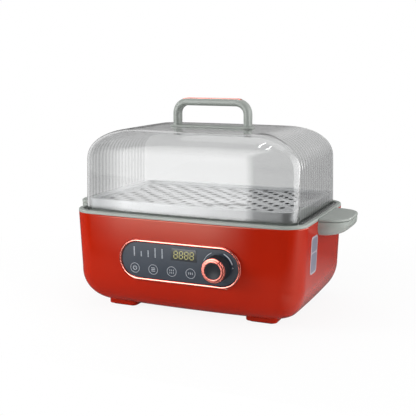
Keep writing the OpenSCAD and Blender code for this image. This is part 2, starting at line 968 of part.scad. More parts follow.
// Points given in the tilted frames of the panel and of the socket
function front_point(x, y, z) =
    [x, -face_y - y * sin(draft_deg) - z * cos(draft_deg), panel_z + y * cos(draft_deg) - z * sin(draft_deg)];

function back_point(x, y, z) =
    [-x, back_y + y * sin(draft_deg) + z * cos(draft_deg), inlet_z + y * cos(draft_deg) - z * sin(draft_deg)];

module mains_leads() {
    tail = inlet_seat - inlet_body_depth - inlet_pin_tail;
    block_z = board_z + block_h;
    color([0.45, 0.30, 0.20]) place()
        for (p = inlet_pin_spots) {
            bend = back_point(p.x, p.y, tail - 3);
            lead([back_point(p.x, p.y, tail), bend, [bend.x, bend.y, board_z + 24],
                [bend.x * 1.4, mains_block_y, block_z + 8], [bend.x * 1.4, mains_block_y, block_z]],
                lead_r, [1, 0, 0]);
        }
}

module heater_leads() {
    block_z = board_z + block_h;
    outside = -shield_w / 2 - 10;
    color([0.85, 0.85, 0.82]) place()
        for (s = [-1, 1])
            lead([[heater_block_x, s * 6, block_z], [heater_block_x, s * 6, block_z + 5],
                [outside, s * 8, block_z + 8], [outside, s * 8, element_z],
                [element_end_x - element_pin_l - 8, s * element_bend_r, element_z],
                [element_end_x - element_pin_l, s * element_bend_r, element_z]], lead_r, [0, 1, 0]);
}

module panel_lead() {
    plug_z = pcb_front - board_t - pcb_plug_h / 2;
    block_z = board_z + block_h;
    color([0.30, 0.30, 0.32]) place()
        lead([[socket_x, socket_y, block_z], [socket_x, socket_y, block_z + 5],
            [socket_x + 8, -shield_d / 2 - 22, block_z + 14],
            front_point(pcb_plug_x, pcb_plug_y - 9, plug_z),
            front_point(pcb_plug_x, pcb_plug_y - 3, plug_z)], 2, [1, 0, 0]);
}

// Plan of a side handle from its straight root, with half width hw and the given reach
function ear_outline(x0, reach, hw) =
    let (r = min(ear_corner_r, reach - 1, hw - 1))
    concat(
        [[x0, -hw]],
        [for (i = [0:corner_steps]) let (a = -90 + 90 * i / corner_steps)
            [x0 + reach - r + r * cos(a), -hw + r + r * sin(a)]],
        [for (i = [0:corner_steps]) let (a = 90 * i / corner_steps)
            [x0 + reach - r + r * cos(a), hw - r + r * sin(a)]],
        [[x0, hw]]
    );

// Right side handle's grip: a bowl whose wall is upright near the cap and turns under below
module ear_grip() {
    steps = 5;
    reach = ear_reach + ear_seat - 0.6;
    turn = reach - 13;
    narrow = 11;
    rise = ear_drop - 5;
    place() translate([0, ear_shift, 0]) difference() {
        union() {
            loft(concat(
                [for (i = [steps:-1:0]) let (a = 90 * i / steps)
                    lift(ear_outline(ear_x, reach - turn * (1 - cos(a)), ear_w / 2 - narrow * (1 - cos(a))),
                        ear_grip_z - ear_drop + rise * (1 - sin(a)))],
                [lift(ear_outline(ear_x, reach, ear_w / 2), ear_grip_z)]
            ));
            translate([0, 0, ear_grip_z - 1])
                linear_extrude(ear_groove + 1)
                    ear_plan(ear_cap_x + 1, ear_reach - 3, ear_w - 5);
        }
        translate([0, 0, ear_grip_z - 9])
            linear_extrude(20)
                ear_plan(ear_x + 11, ear_reach - 18, ear_w - 26);
        for (y = [-1, 1])
            translate([ear_x - 1, y * ear_screw_y, ear_screw_z])
                rotate([0, 90, 0])
                    cylinder(r = m3_r + thread_gap, h = ear_screw_l + 2.5);
    }
}

// Flat plan of a side handle, made of true arcs
module ear_plan(x0, reach, w) {
    intersection() {
        translate([x0, 0])
            plate(2 * reach, w, min(ear_corner_r, reach - 0.5, w / 2 - 1));
        translate([x0, -w])
            square([2 * reach, 2 * w]);
    }
}

module ear_cap() {
    place()
        translate([0, ear_shift, ear_cap_z])
            linear_extrude(ear_cap_t)
                ear_plan(ear_cap_x, ear_reach - 0.3, ear_w);
}

module handle_grip_right() {
    color(grey) ear_grip();
}

module handle_grip_left() {
    color(grey) mirror([1, 0, 0]) ear_grip();
}

module handle_cap_right() {
    color(grey) ear_cap();
}

module handle_cap_left() {
    color(grey) mirror([1, 0, 0]) ear_cap();
}

module handle_screws() {
    color(steel) place()
        ear_screw_places()
            screw(m3_r, ear_boss_t + ear_screw_l, m3_head_r, m3_head_h);
}

module steam_tray() {
    inner = upstand_end + 0.4;
    floor_top = upstand_h - 1.6;
    bead = 1.8;
    section = [
        [inner, floor_top - tray_t], [inner, upstand_h], [tray_in + tray_t, upstand_h],
        [tray_in + tray_t, upstand_h - 4.5], [tray_in, upstand_h - 4.5],
        [tray_in, upstand_h + bead - 1.2], [tray_in + 0.4, upstand_h + bead - 0.35],
        [tray_in + 1.2, upstand_h + bead], [inner - 0.6, upstand_h + bead],
        [inner + tray_t * 0.6, upstand_h + bead - 0.8], [inner + tray_t, floor_top]
    ];
    reach_x = body_w / 2 - inner - 12;
    reach_y = body_d / 2 - inner - 12;
    rows = ceil((reach_x + reach_y) / row_pitch);
    cells = ceil((reach_x + reach_y) / slot_pitch);
    color(steel) place()
        difference() {
            loft([for (p = section) body_ring(p.x, rim_z + p.y)]);
            for (row = [-rows:rows], cell = [-cells:cells])
                let (along = (cell + (row % 2 == 0 ? 0 : 0.5)) * slot_pitch, across = (row + 0.5) * row_pitch)
                let (x = (along + across) * sqrt(0.5), y = (across - along) * sqrt(0.5))
                if (abs(x) < reach_x - slot_l / 2 && abs(y) < reach_y - slot_l / 2)
                    translate([x, y, rim_z])
                        linear_extrude(upstand_h + 10)
                            rotate(90)
                                capsule(slot_l, slot_w);
        }
}

module encoder_shaft() {
    color(steel) place() on_front()
        translate([knob_x, 0, pcb_front + 2.5])
            cylinder(r = shaft_r, h = knob_step - 4 - pcb_front - 2.5);
}

module knob_barrel() {
    r = knob_d / 2 - 1;
    flutes = 40;
    color(dark) place() on_front()
        translate([knob_x, 0, 0])
            difference() {
                translate([0, 0, knob_back])
                    cylinder(r = r, h = knob_step - knob_back);
                cylinder(r = shaft_r + thread_gap, h = knob_step - 4);
                cylinder(r = bush_r + run_gap, h = bush_top + run_gap);
                for (i = [0:flutes - 1])
                    rotate(i * 360 / flutes)
                        translate([r + 0.35, 0, 0])
                            cylinder(r = 0.9, h = knob_step - 1.5, $fn = 16);
            }
}

module knob_ring() {
    color(copper) place() on_front()
        translate([knob_x, 0, knob_step])
            difference() {
                cylinder(d = knob_d, h = knob_out - knob_step);
                translate([0, 0, -1])
                    cylinder(r = knob_ring_inner, h = knob_out);
                translate([0, (knob_d / 2 + knob_ring_inner) / 2, knob_out - knob_step])
                    cube([1.2, 3.2, 1.2], center = true);
            }
}

module knob_cap() {
    dish_r = 40;
    color(dark) place() on_front()
        translate([knob_x, 0, knob_step])
            difference() {
                cylinder(r = knob_ring_inner - thread_gap, h = knob_out - knob_step - 0.6);
                translate([0, 0, dish_r + 1.4])
                    sphere(dish_r, $fn = 96);
            }
}

// Lid section: t runs from 0 at the start of the shoulder to 1 at the top
function lid_ring(t, wall) =
    let (top = lid_top - wall, shoulder = shoulder_h - wall, z = top - shoulder + shoulder * t)
    let (lean = (z - lid_z) * tan(lid_draft_deg), start_lean = (top - shoulder - lid_z) * tan(lid_draft_deg))
    let (wide = body_w / 2 - lid_in - wall - start_lean)
    let (hx = flat_half + (wide - flat_half) * pow(max(1 - pow(t, 2.1), 0), 1 / 2.1))
    let (edge = max(lid_edge_r - wall, 1), up = max(z - top + edge, 0) / edge)
    let (hy = body_d / 2 - lid_in - wall - lean - edge * (1 - sqrt(max(1 - up * up, 0))))
    let (r = corner_r - lid_in - wall - 4 * t)
    lift(outline(hx, hy, r), z);

// Levels on the shoulder, closer together towards the top
lid_levels = [0, 0.22, 0.42, 0.58, 0.71, 0.81, 0.89, 0.945, 0.98, 1];

module lid_shell() {
    foot_ring = lid_in + lid_wall;
    color([0.85, 0.88, 0.90, 0.35]) place()
        difference() {
            loft(concat(
                [for (i = [len(lid_levels) - 1:-1:0]) lid_ring(lid_levels[i], lid_wall)],
                [body_ring(foot_ring, lid_z), body_ring(lid_flange_in, lid_z),
                    body_ring(lid_flange_in, lid_z + lid_flange_t), body_ring(lid_in, lid_z + lid_flange_t)],
                [for (t = lid_levels) lid_ring(t, 0)]
            ));
            for (s = [-1, 1])
                translate([s * lid_screw_x, 0, lid_top - 20])
                    cylinder(r = lid_screw_r + 0.3, h = 40);
        }
}

module handle_base() {
    color(grey) place()
        difference() {
            translate([0, 0, lid_top])
                linear_extrude(base_plate_t)
                    plate(base_plate_w, base_plate_d, 10);
            for (s = [-1, 1])
                translate([s * lid_screw_x, 0, lid_top - 1])
                    cylinder(r = lid_screw_r + 0.3, h = base_plate_t + 2);
        }
}

// Rounded cross-section of the lid handle between an inner and an outer point of its arch
function grip_ring(outer, inner) =
    let (middle = (outer + inner) / 2, half = norm(outer - inner) / 2, out = (outer - inner) / (2 * half))
    [for (q = [0:3], i = [0:3])
        let (a = 90 * q + 30 * i, su = (q == 0 || q == 3) ? 1 : -1, sv = q < 2 ? 1 : -1)
        let (u = su * (half - grip_edge_r * 0.9) + grip_edge_r * 0.9 * cos(a))
        let (v = sv * (grip_d / 2 - grip_edge_r) + grip_edge_r * sin(a))
        [middle.x + out.x * u, v, middle.y + out.y * u]];

function grip_turn(angle) =
    let (c = [grip_turn_x, grip_turn_z], hollow = [grip_turn_r - leg_t, grip_turn_r - bar_t])
    let (d = [cos(angle), sin(angle)])
    [c + grip_turn_r * d, [c.x + hollow.x * d.x, c.y + hollow.y * d.y]];

module lid_handle() {
    steps = 9;
    leg = [[grip_w / 2, grip_z], [grip_w / 2 - leg_t, grip_z]];
    right = concat([leg], [for (i = [0:steps]) grip_turn(90 * i / steps)]);
    left = [for (i = [len(right) - 1:-1:0]) [for (p = right[i]) [-p.x, p.y]]];
    color(grey) place()
        difference() {
            loft([for (pair = concat(right, left)) grip_ring(pair[0], pair[1])]);
            for (s = [-1, 1])
                translate([s * lid_screw_x, 0, grip_z - 1])
                    cylinder(r = lid_screw_r + thread_gap, h = 13);
        }
}

module accent_profile() {
    translate([-grip_turn_x, grip_turn_r])
        square([2 * grip_turn_x, accent_t]);
    for (s = [-1, 1])
        translate([s * grip_turn_x, 0])
            intersection() {
                difference() {
                    circle(grip_turn_r + accent_t);
                    circle(grip_turn_r);
                }
                polygon([[0, 0], [0, 60], [s * 60 * tan(accent_angle), 60]]);
            }
}

module handle_accent() {
    depth = grip_d - 2 * grip_edge_r - 0.6;
    color(copper) place()
        translate([0, depth / 2, grip_turn_z])
            rotate([90, 0, 0])
                linear_extrude(depth)
                    accent_profile();
}

module lid_washers() {
    color([0.85, 0.85, 0.83]) place()
        for (s = [-1, 1])
            translate([s * lid_screw_x, 0, lid_top - lid_wall - 1.5])
                difference() {
                    cylinder(r = 6, h = 1.5);
                    translate([0, 0, -1])
                        cylinder(r = lid_screw_r + 0.3, h = 4);
                }
}

module lid_screws() {
    color(steel) place()
        for (s = [-1, 1])
            translate([s * lid_screw_x, 0, lid_top - lid_wall - 1.5])
                screw(lid_screw_r, lid_wall + 1.5 + base_plate_t + 10, 4.5, 2.4);
}

housing();
bottom_cover();
cover_screws();
feet();
foot_pads();
foot_screws();
rim_trim();
pan_seal();
water_pan();
heating_plate();
heating_element();
element_clamps();
clamp_nuts();
thermostat();
thermal_fuse();
heat_shield();
panel_bezel();
control_panel();
display_lens();
display_module();
control_board();
touch_springs();
rotary_encoder();
panel_screws();
power_board();
board_screws();
power_inlet();
inlet_pins();
inlet_screws();
mains_leads();
heater_leads();
panel_lead();
handle_grip_left();
handle_grip_right();
handle_cap_left();
handle_cap_right();
handle_screws();
steam_tray();
encoder_shaft();
knob_barrel();
knob_ring();
knob_cap();
lid_shell();
handle_base();
lid_handle();
handle_accent();
lid_screws();
lid_washers();
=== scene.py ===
import json
import math

import bpy
import numpy as np
from mathutils.geometry import delaunay_2d_cdt
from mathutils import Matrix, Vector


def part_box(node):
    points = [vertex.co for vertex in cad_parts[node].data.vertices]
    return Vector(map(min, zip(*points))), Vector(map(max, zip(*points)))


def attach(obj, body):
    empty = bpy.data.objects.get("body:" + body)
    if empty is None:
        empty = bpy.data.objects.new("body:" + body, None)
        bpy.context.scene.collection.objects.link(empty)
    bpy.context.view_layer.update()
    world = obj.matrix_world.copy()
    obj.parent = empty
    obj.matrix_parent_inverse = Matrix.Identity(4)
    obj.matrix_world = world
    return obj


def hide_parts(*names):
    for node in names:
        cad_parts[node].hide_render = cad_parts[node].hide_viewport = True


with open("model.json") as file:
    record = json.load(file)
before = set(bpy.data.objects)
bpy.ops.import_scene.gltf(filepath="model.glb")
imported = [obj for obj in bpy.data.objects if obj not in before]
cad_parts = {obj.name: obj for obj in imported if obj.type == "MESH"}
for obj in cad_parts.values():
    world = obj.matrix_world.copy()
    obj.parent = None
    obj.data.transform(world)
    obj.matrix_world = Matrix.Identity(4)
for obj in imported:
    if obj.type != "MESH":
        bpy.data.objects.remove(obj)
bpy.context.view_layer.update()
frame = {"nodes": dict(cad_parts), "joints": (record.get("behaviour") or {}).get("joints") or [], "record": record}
print("frame loaded:", len(frame["nodes"]), "nodes")

mm = 0.001  # every shape below is worked out in millimetres, addPiece turns it into metres
quarter = math.pi / 2
fullTurn = math.pi * 2
slots = {part["node"]: part["material_slot"] for part in frame["record"]["subparts"]}
knobJoint = next(joint for joint in frame["joints"] if joint["name"] == "knob_turn")


def nodeBox(name):  # lowest and highest corner of a solid, in millimetres
    low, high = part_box(name)
    return np.array(low) / mm, np.array(high) / mm


shellLow, shellHigh = nodeBox("housing")
rimZ = shellHigh[2]
planY = (shellHigh[1] + shellLow[1]) / 2  # the plan's centre, off the origin because the knob stands out
body = dict(
    halfX=shellHigh[0], halfY=(shellHigh[1] - shellLow[1]) / 2, underZ=shellLow[2], cornerR=30.0, leastR=5.0,
    frontBow=5.0, endBow=1.6,  # how far the long sides and the ends bulge
    lean=math.radians(1.8),  # the wall leans out towards the rim
)


# Shapes


def column(values):  # one value for each row of a grid
    return np.atleast_1d(np.asarray(values, float))[:, None]


def stack(x, y, z):  # a grid of points from arrays that may be one row or one column
    return np.stack(np.broadcast_arrays(x, y, z), -1).astype(float)


def smoothStep(value, low, high):  # three t squared less two t cubed, from 0 at low to 1 at high
    t = np.clip((value - low) / (high - low), 0, 1)
    return t * t * (3 - 2 * t)


def wave(phase):  # a cosine that runs from 0 to 1 and back in a full turn
    return 0.5 - 0.5 * np.cos(phase)


def ringShape(cornerSteps, longSteps, endSteps):
    # a rounded rectangle, anticlockwise: each point is a corner centre plus an outward direction,
    # and on the straight sides the centre slides from one corner to the next
    corners = np.array([(1, 1), (-1, 1), (-1, -1), (1, -1)], float)
    centres, angles = [], []
    for k in range(4):
        steps = (longSteps, endSteps)[k % 2]
        slide = np.linspace(0, 1, steps + 1)[1:-1, None]
        centres += [np.repeat(corners[k : k + 1], cornerSteps + 1, 0)]
        centres += [corners[k] * (1 - slide) + corners[(k + 1) % 4] * slide]
        angles += [np.linspace(k, k + 1, cornerSteps + 1), np.full(steps - 1, k + 1.0)]
    centre = np.concatenate(centres)
    angle = np.concatenate(angles) * quarter
    return dict(kx=centre[:, 0], ky=centre[:, 1], nx=np.cos(angle), ny=np.sin(angle))


def capsuleShape(arcSteps, longSteps):
    # two half circles joined by straight lines, in the same form as ringShape
    slide = np.linspace(1, -1, longSteps + 1)[1:-1]
    arc = np.linspace(-quarter, quarter, arcSteps + 1)
    kx = np.concatenate([np.ones(arcSteps + 1), slide, -np.ones(arcSteps + 1), -slide])
    straight = np.full(longSteps - 1, quarter)
    angle = np.concatenate([arc, straight, arc + math.pi, straight * 3])
    return dict(kx=kx, ky=kx * 0, nx=np.cos(angle), ny=np.sin(angle))


def outline(ring, hx, hy, r, bow=1.0):
    # corner centre plus radius times direction, then each side bulges with the square of the way along it
    hx, hy, r = column(hx), column(hy), column(r)
    x = ring["kx"] * (hx - r) + ring["nx"] * r
    y = ring["ky"] * (hy - r) + ring["ny"] * r
    bowedX = x * (1 - bow * body["endBow"] / hx * (y / hy) ** 2)
    bowedY = y * (1 - bow * body["frontBow"] / hy * (x / hx) ** 2)
    return bowedX, bowedY


def planRings(ring, hx, hy, r, z, bow=1.0):  # that outline round the plan's centre, one ring for each height
    x, y = outline(ring, hx, hy, r, bow)
    return stack(x, y + planY, column(z))


def bodyRings(ring, profile, z):  # a profile of inset and height, carried round the body's plan
    inset, up = np.array(profile, float).T
    r = np.maximum(body["cornerR"] - inset, body["leastR"])
    return planRings(ring, body["halfX"] - inset, body["halfY"] - inset, r, z + up)


def softSection(corners, steps=4):
    # each corner of a closed outline, given with the length that its rounding takes, becomes a parabola:
    # its two ends and the corner weighted by (1-t) squared, t squared and 2t(1-t)
    corners = np.array(corners, float)
    corner, length = corners[:, :2], corners[:, 2:]
    before = np.roll(corner, 1, 0) - corner
    after = np.roll(corner, -1, 0) - corner
    start = (corner + before / np.linalg.norm(before, axis=1, keepdims=True) * length)[:, None]
    end = (corner + after / np.linalg.norm(after, axis=1, keepdims=True) * length)[:, None]
    t = np.linspace(0, 1, steps + 1)[None, :, None]
    return ((1 - t) ** 2 * start + 2 * t * (1 - t) * corner[:, None] + t**2 * end).reshape(-1, 2)


def towardsMiddle(row, steps):  # copies of a level ring shrinking towards its middle
    middle = row.mean(0)
    return middle + (row - middle) * np.linspace(1, 0, steps + 2)[1:-1, None, None]


def gridFaces(rows, columns, closeRows=False, closeColumns=True):
    # four-sided faces between neighbours of a grid that may be closed either way
    i = np.arange(rows if closeRows else rows - 1)[:, None]
    j = np.arange(columns if closeColumns else columns - 1)[None, :]
    up = (i + 1) % rows * columns
    along = (j + 1) % columns
    corners = np.broadcast_arrays(i * columns + j, i * columns + along, up + along, up + j)
    return np.stack(corners, -1).reshape(-1, 4)


def looped(points):  # a grid closed both ways, such as a section carried round a plan
    return points, gridFaces(*points.shape[:2], closeRows=True)


def capped(points):  # a grid of rings, with one face over the first ring and one over the last
    rows, columns = points.shape[:2]
    ends = [list(range(columns))[::-1], list(range((rows - 1) * columns, rows * columns))]
    return points, gridFaces(rows, columns).tolist() + ends


def filledIn(rows, steps):  # a stack of level rings that closes towards the middle at both ends
    first, last = (towardsMiddle(row, steps) for row in (rows[0], rows[-1]))
    return capped(np.concatenate([first[::-1], rows, last]))


def joined(shapes):  # several (points, faces) as one
    points, faces, start = [], [], 0
    for shapePoints, shapeFaces in shapes:
        flat = np.asarray(shapePoints).reshape(-1, 3)
        points.append(flat)
        faces += [[start + k for k in face] for face in shapeFaces]
        start += len(flat)
    return np.concatenate(points), faces


def addPiece(name, shape, rides, hides=(), slot=None, finish=None, closed=True, sharp=38.0):
    # a mesh that rides on a body, in place of the solid it hides and with that solid's slot and finish
    mesh = bpy.data.meshes.new(name)
    points = np.asarray(shape[0], float).reshape(-1, 3) * mm
    mesh.from_pydata(points.tolist(), [], [list(map(int, face)) for face in shape[1]])
    if closed:  # a closed skin whose volume comes out negative is inside out
        mesh.calc_loop_triangles()
        corners = np.zeros(len(mesh.loop_triangles) * 3, np.int32)
        mesh.loop_triangles.foreach_get("vertices", corners)
        a, b, c = np.moveaxis(points[corners.reshape(-1, 3)], 1, 0)
        if np.einsum("ij,ij->i", a, np.cross(b, c)).sum() < 0:
            mesh.flip_normals()
    mesh.shade_smooth()
    mesh.set_sharp_from_angle(angle=math.radians(sharp))
    slot = slots[hides[0]] if hides else slot
    mesh.materials.append(finish or finishes[slot])
    piece = bpy.data.objects.new(name, mesh)
    bpy.context.scene.collection.objects.link(piece)
    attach(piece, rides)
    if hides:
        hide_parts(*hides)
    return piece


def addWall(piece, thickness):  # gives an open skin its thickness, inwards
    solid = piece.modifiers.new("wall", "SOLIDIFY")
    solid.thickness = thickness * mm
    solid.offset = -1
    solid.use_even_offset = True


def faceFrame(at, out):  # a flat place on the body: across, up and outwards
    out = np.array(out, float)
    up = np.array([0, out[2], -out[1]]) if out[1] < 0 else np.array([0, -out[2], out[1]])
    return dict(at=np.array(at, float), right=np.cross(up, out), up=up, out=out)


def onFace(place, u, v, w):  # the place plus u across, v up and w outwards
    u, v, w = (k[..., None] for k in np.broadcast_arrays(u, v, w))
    return place["at"] + u * place["right"] + v * place["up"] + w * place["out"]


knobAt = np.array(knobJoint["pos_m"]) / mm
panelFace = faceFrame([0, knobAt[1], knobAt[2]], knobJoint["axis"])


# Shader nodes


def feed(tree, node, given):  # gives each input a value, or a link where it comes from another node
    for label, value in given.items():
        if isinstance(value, bpy.types.NodeSocket):
            tree.links.new(value, node.inputs[label])
        else:
            node.inputs[label].default_value = value


def addNode(tree, kind, given=None, **settings):
    node = tree.nodes.new("ShaderNode" + kind)
    for label, value in settings.items():
        setattr(node, label, value)
    feed(tree, node, given or {})
    return node


def mathNode(tree, operation, first, second, **settings):
    return addNode(tree, "Math", {0: first, 1: second}, operation=operation, **settings).outputs["Value"]


def rangeNode(tree, value, fromSpan=(0, 1), toSpan=(0, 1)):
    # runs over toSpan while value runs over fromSpan, and stays at its ends outside it
    ends = dict(zip(("From Min", "From Max", "To Min", "To Max"), (*fromSpan, *toSpan)))
    return addNode(tree, "MapRange", {"Value": value, **ends}).outputs["Result"]


def mixNode(tree, share, first, second):  # the second shader where share is 1
    return addNode(tree, "MixShader", {"Fac": share, 1: first, 2: second}).outputs["Shader"]


def splitNode(tree, kind):  # X, Y and Z of a texture coordinate
    return addNode(tree, "SeparateXYZ", {"Vector": addNode(tree, "TexCoord").outputs[kind]}).outputs


# Finishes


def newGroup(name, inputs):  # a node group that puts out a skin's height, tone and smudges
    group = bpy.data.node_groups.new(name, "ShaderNodeTree")
    for label, value in inputs.items():
        socket = group.interface.new_socket(label, in_out="INPUT", socket_type="NodeSocketFloat")
        socket.default_value = value
    for label in ("Height", "Tone", "Smudge"):
        group.interface.new_socket(label, in_out="OUTPUT", socket_type="NodeSocketFloat")
    place = addNode(group, "TexCoord").outputs["Object"]
    return group, group.nodes.new("NodeGroupInput").outputs, place


def addNoise(group, place, scale, detail, roughness=0.5):
    given = {"Vector": place, "Scale": scale, "Detail": detail, "Roughness": roughness}
    return addNode(group, "TexNoise", given).outputs["Fac"]


def mouldGroup():  # moulded plastic: fine grain, slow drift of tone and cloudy handling marks
    group, given, place = newGroup("mouldSkin", {"Grain": 1800.0})
    made = {
        "Height": addNoise(group, place, scale=given["Grain"], detail=3),
        "Tone": addNoise(group, place, scale=11, detail=3),
        "Smudge": addNoise(group, place, scale=38, detail=4, roughness=0.62),
    }
    feed(group, group.nodes.new("NodeGroupOutput"), made)
    return group


def brushGroup():  # drawn metal: noise stretched along X for height and tone, and a cloud for the smudges
    group, given, place = newGroup("brushedSkin", {"Lines": 900.0, "Stretch": 0.02})
    squeeze = addNode(group, "CombineXYZ", {"X": given["Stretch"], "Y": 1.0, "Z": 1.0}).outputs["Vector"]
    stretched = addNode(group, "VectorMath", {0: place, 1: squeeze}, operation="MULTIPLY").outputs["Vector"]
    lines = addNoise(group, stretched, scale=given["Lines"], detail=2)
    made = {"Height": lines, "Tone": lines, "Smudge": addNoise(group, place, scale=55, detail=3)}
    feed(group, group.nodes.new("NodeGroupOutput"), made)
    return group


skins = {"mould": mouldGroup(), "brush": brushGroup()}
skinSpan = (0.3, 0.7)  # the noise values over which colour and roughness run


def newFinish(name, skin, dark, light, rough, bump, settings=None, constants=None):
    # colour runs from dark to light with the skin's tone, roughness with its smudges, bump with its height:
    # bump is a strength and a depth in millimetres, settings are the skin's and constants the shader's
    material = bpy.data.materials.new(name)
    material.use_nodes = True
    tree = material.node_tree
    made = addNode(tree, "Group", settings, node_tree=skins[skin]).outputs
    ramp = addNode(tree, "ValToRGB", {"Fac": made["Tone"]})
    for stop, position, colour in zip(ramp.color_ramp.elements, skinSpan, (dark, light)):
        stop.position = position
        stop.color = (*colour, 1)
    relief = {"Strength": bump[0], "Distance": bump[1] * mm, "Height": made["Height"]}
    given = {
        "Base Color": ramp.outputs["Color"],
        "Roughness": rangeNode(tree, made["Smudge"], skinSpan, rough),
        "Normal": addNode(tree, "Bump", relief).outputs["Normal"],
    }
    feed(tree, tree.nodes["Principled BSDF"], {**given, **(constants or {})})
    return material


metal = {"Metallic": 1.0}
finishes = {
    "red_shell": newFinish(
        "satinRed", "mould", (0.425, 0.0148, 0.0032), (0.463, 0.0174, 0.0043), (0.08, 0.12), (0.02, 0.02),
        {"Grain": 1500.0}, {"Specular Tint": (1.0, 0.87, 0.70, 1)},
    ),
    "dark_plastic": newFinish(
        "mattBlack", "mould", (0.012, 0.012, 0.014), (0.026, 0.026, 0.029), (0.46, 0.60), (0.35, 0.10),
        {"Grain": 1100.0},
    ),
    "rubber": newFinish(
        "padRubber", "mould", (0.016, 0.016, 0.016), (0.034, 0.034, 0.034), (0.72, 0.86), (0.5, 0.15),
        {"Grain": 900.0},
    ),
    "grey_plastic": newFinish(
        "sageGrey", "mould", (0.335, 0.362, 0.337), (0.360, 0.388, 0.362), (0.30, 0.34), (0.008, 0.01),
        {"Grain": 1400.0}, {"Specular IOR Level": 0.3},
    ),
    "silicone": newFinish(
        "milkySilicone", "mould", (0.60, 0.60, 0.58), (0.70, 0.70, 0.68), (0.42, 0.55), (0.2, 0.06),
        {"Grain": 700.0}, {"Subsurface Weight": 0.2, "Subsurface Scale": 0.002},
    ),
    "pan_metal": newFinish(
        "coatedPan", "mould", (0.40, 0.41, 0.41), (0.50, 0.51, 0.51), (0.30, 0.42), (0.25, 0.06),
        {"Grain": 1000.0}, {"Metallic": 0.9},
    ),
    "cast_aluminium": newFinish(
        "castPlate", "mould", (0.50, 0.51, 0.51), (0.62, 0.63, 0.63), (0.45, 0.60), (0.6, 0.25),
        {"Grain": 500.0}, metal,
    ),
    "element_sheath": newFinish(
        "dullSheath", "mould", (0.16, 0.15, 0.14), (0.27, 0.26, 0.25), (0.42, 0.60), (0.4, 0.10),
        {"Grain": 600.0}, metal,
    ),
    "sheet_steel": newFinish(
        "plainSheet", "brush", (0.55, 0.56, 0.57), (0.66, 0.67, 0.68), (0.26, 0.36), (0.25, 0.05),
        None, metal,
    ),
    "ceramic_body": newFinish(
        "mattCeramic", "mould", (0.64, 0.58, 0.46), (0.72, 0.66, 0.55), (0.55, 0.70), (0.3, 0.08),
        {"Grain": 1000.0},
    ),
    "rose_gold": newFinish(
        "roseGold", "brush", (0.915, 0.272, 0.218), (0.955, 0.302, 0.245), (0.23, 0.28), (0.01, 0.01),
        {"Lines": 1400.0, "Stretch": 0.2}, metal,
    ),
    "panel_plastic": newFinish(
        "slatePanel", "mould", (0.033, 0.043, 0.059), (0.041, 0.053, 0.071), (0.18, 0.24), (0.06, 0.03),
        {"Grain": 1900.0},
    ),
    "display_window": newFinish(
        "smokedWindow", "mould", (0.036, 0.040, 0.043), (0.046, 0.050, 0.054), (0.18, 0.24), (0.02, 0.01),
        {"Grain": 300.0},
    ),
    "circuit_board": newFinish(
        "solderMask", "mould", (0.012, 0.075, 0.032), (0.022, 0.105, 0.046), (0.28, 0.40), (0.35, 0.08),
        {"Grain": 420.0},
    ),
    "encoder_metal": newFinish(
        "turnedMetal", "brush", (0.50, 0.50, 0.51), (0.62, 0.62, 0.63), (0.22, 0.32), (0.2, 0.04),
        {"Stretch": 0.3}, metal,
    ),
    "lead_cover": newFinish(
        "leadCover", "mould", (0.28, 0.20, 0.15), (0.36, 0.27, 0.22), (0.50, 0.65), (0.2, 0.05),
        {"Grain": 800.0},
    ),
    "tray_steel": newFinish(
        "brightTray", "brush", (0.80, 0.81, 0.82), (0.88, 0.89, 0.90), (0.16, 0.24), (0.04, 0.03),
        {"Lines": 700.0}, metal,
    ),
    "knob_plastic": newFinish(
        "knobBlack", "mould", (0.013, 0.015, 0.018), (0.025, 0.028, 0.033), (0.36, 0.46), (0.15, 0.04),
        {"Grain": 1300.0}, {"Specular IOR Level": 0.2},
    ),
    "steel_fastener": newFinish(
        "zincScrew", "brush", (0.52, 0.53, 0.53), (0.64, 0.65, 0.65), (0.28, 0.38), (0.2, 0.04),
        {"Stretch": 0.5}, metal,
    ),
}
paint = {  # finishes that only the scene's own pieces have
    "print": newFinish(
        "paleInk", "mould", (0.43, 0.46, 0.51), (0.52, 0.56, 0.61), (0.45, 0.55), (0.1, 0.02),
        {"Grain": 2400.0},
    ),
    "plate": newFinish(
        "silverPlate", "brush", (0.55, 0.50, 0.55), (0.64, 0.59, 0.64), (0.28, 0.36), (0.1, 0.02),
        {"Lines": 1100.0, "Stretch": 1.0}, {"Metallic": 0.5},
    ),
    "field": newFinish(
        "plateField", "brush", (0.225, 0.218, 0.287), (0.272, 0.267, 0.340), (0.32, 0.40), (0.1, 0.02),
        {"Lines": 1100.0, "Stretch": 1.0}, {"Metallic": 0.3},
    ),
    "lip": newFinish(
        "polishedLip", "brush", (0.80, 0.81, 0.82), (0.86, 0.87, 0.88), (0.30, 0.38), (0.01, 0.01),
        {"Lines": 700.0}, metal,
    ),
    "glow": newFinish(
        "litSegments", "mould", (0.20, 0.19, 0.07), (0.25, 0.23, 0.09), (0.30, 0.40), (0.05, 0.01),
        {"Grain": 900.0}, {"Emission Color": (0.36, 0.34, 0.11, 1), "Emission Strength": 0.7},
    ),
}
clear = dict(
    dark=(0.965, 0.970, 0.970), light=(0.995, 1.0, 1.0), rough=(0.0, 0.02), bump=(0.004, 0.003), grain=160.0,
    index=1.49, lamp=(0.75, 0.755, 0.755),
)


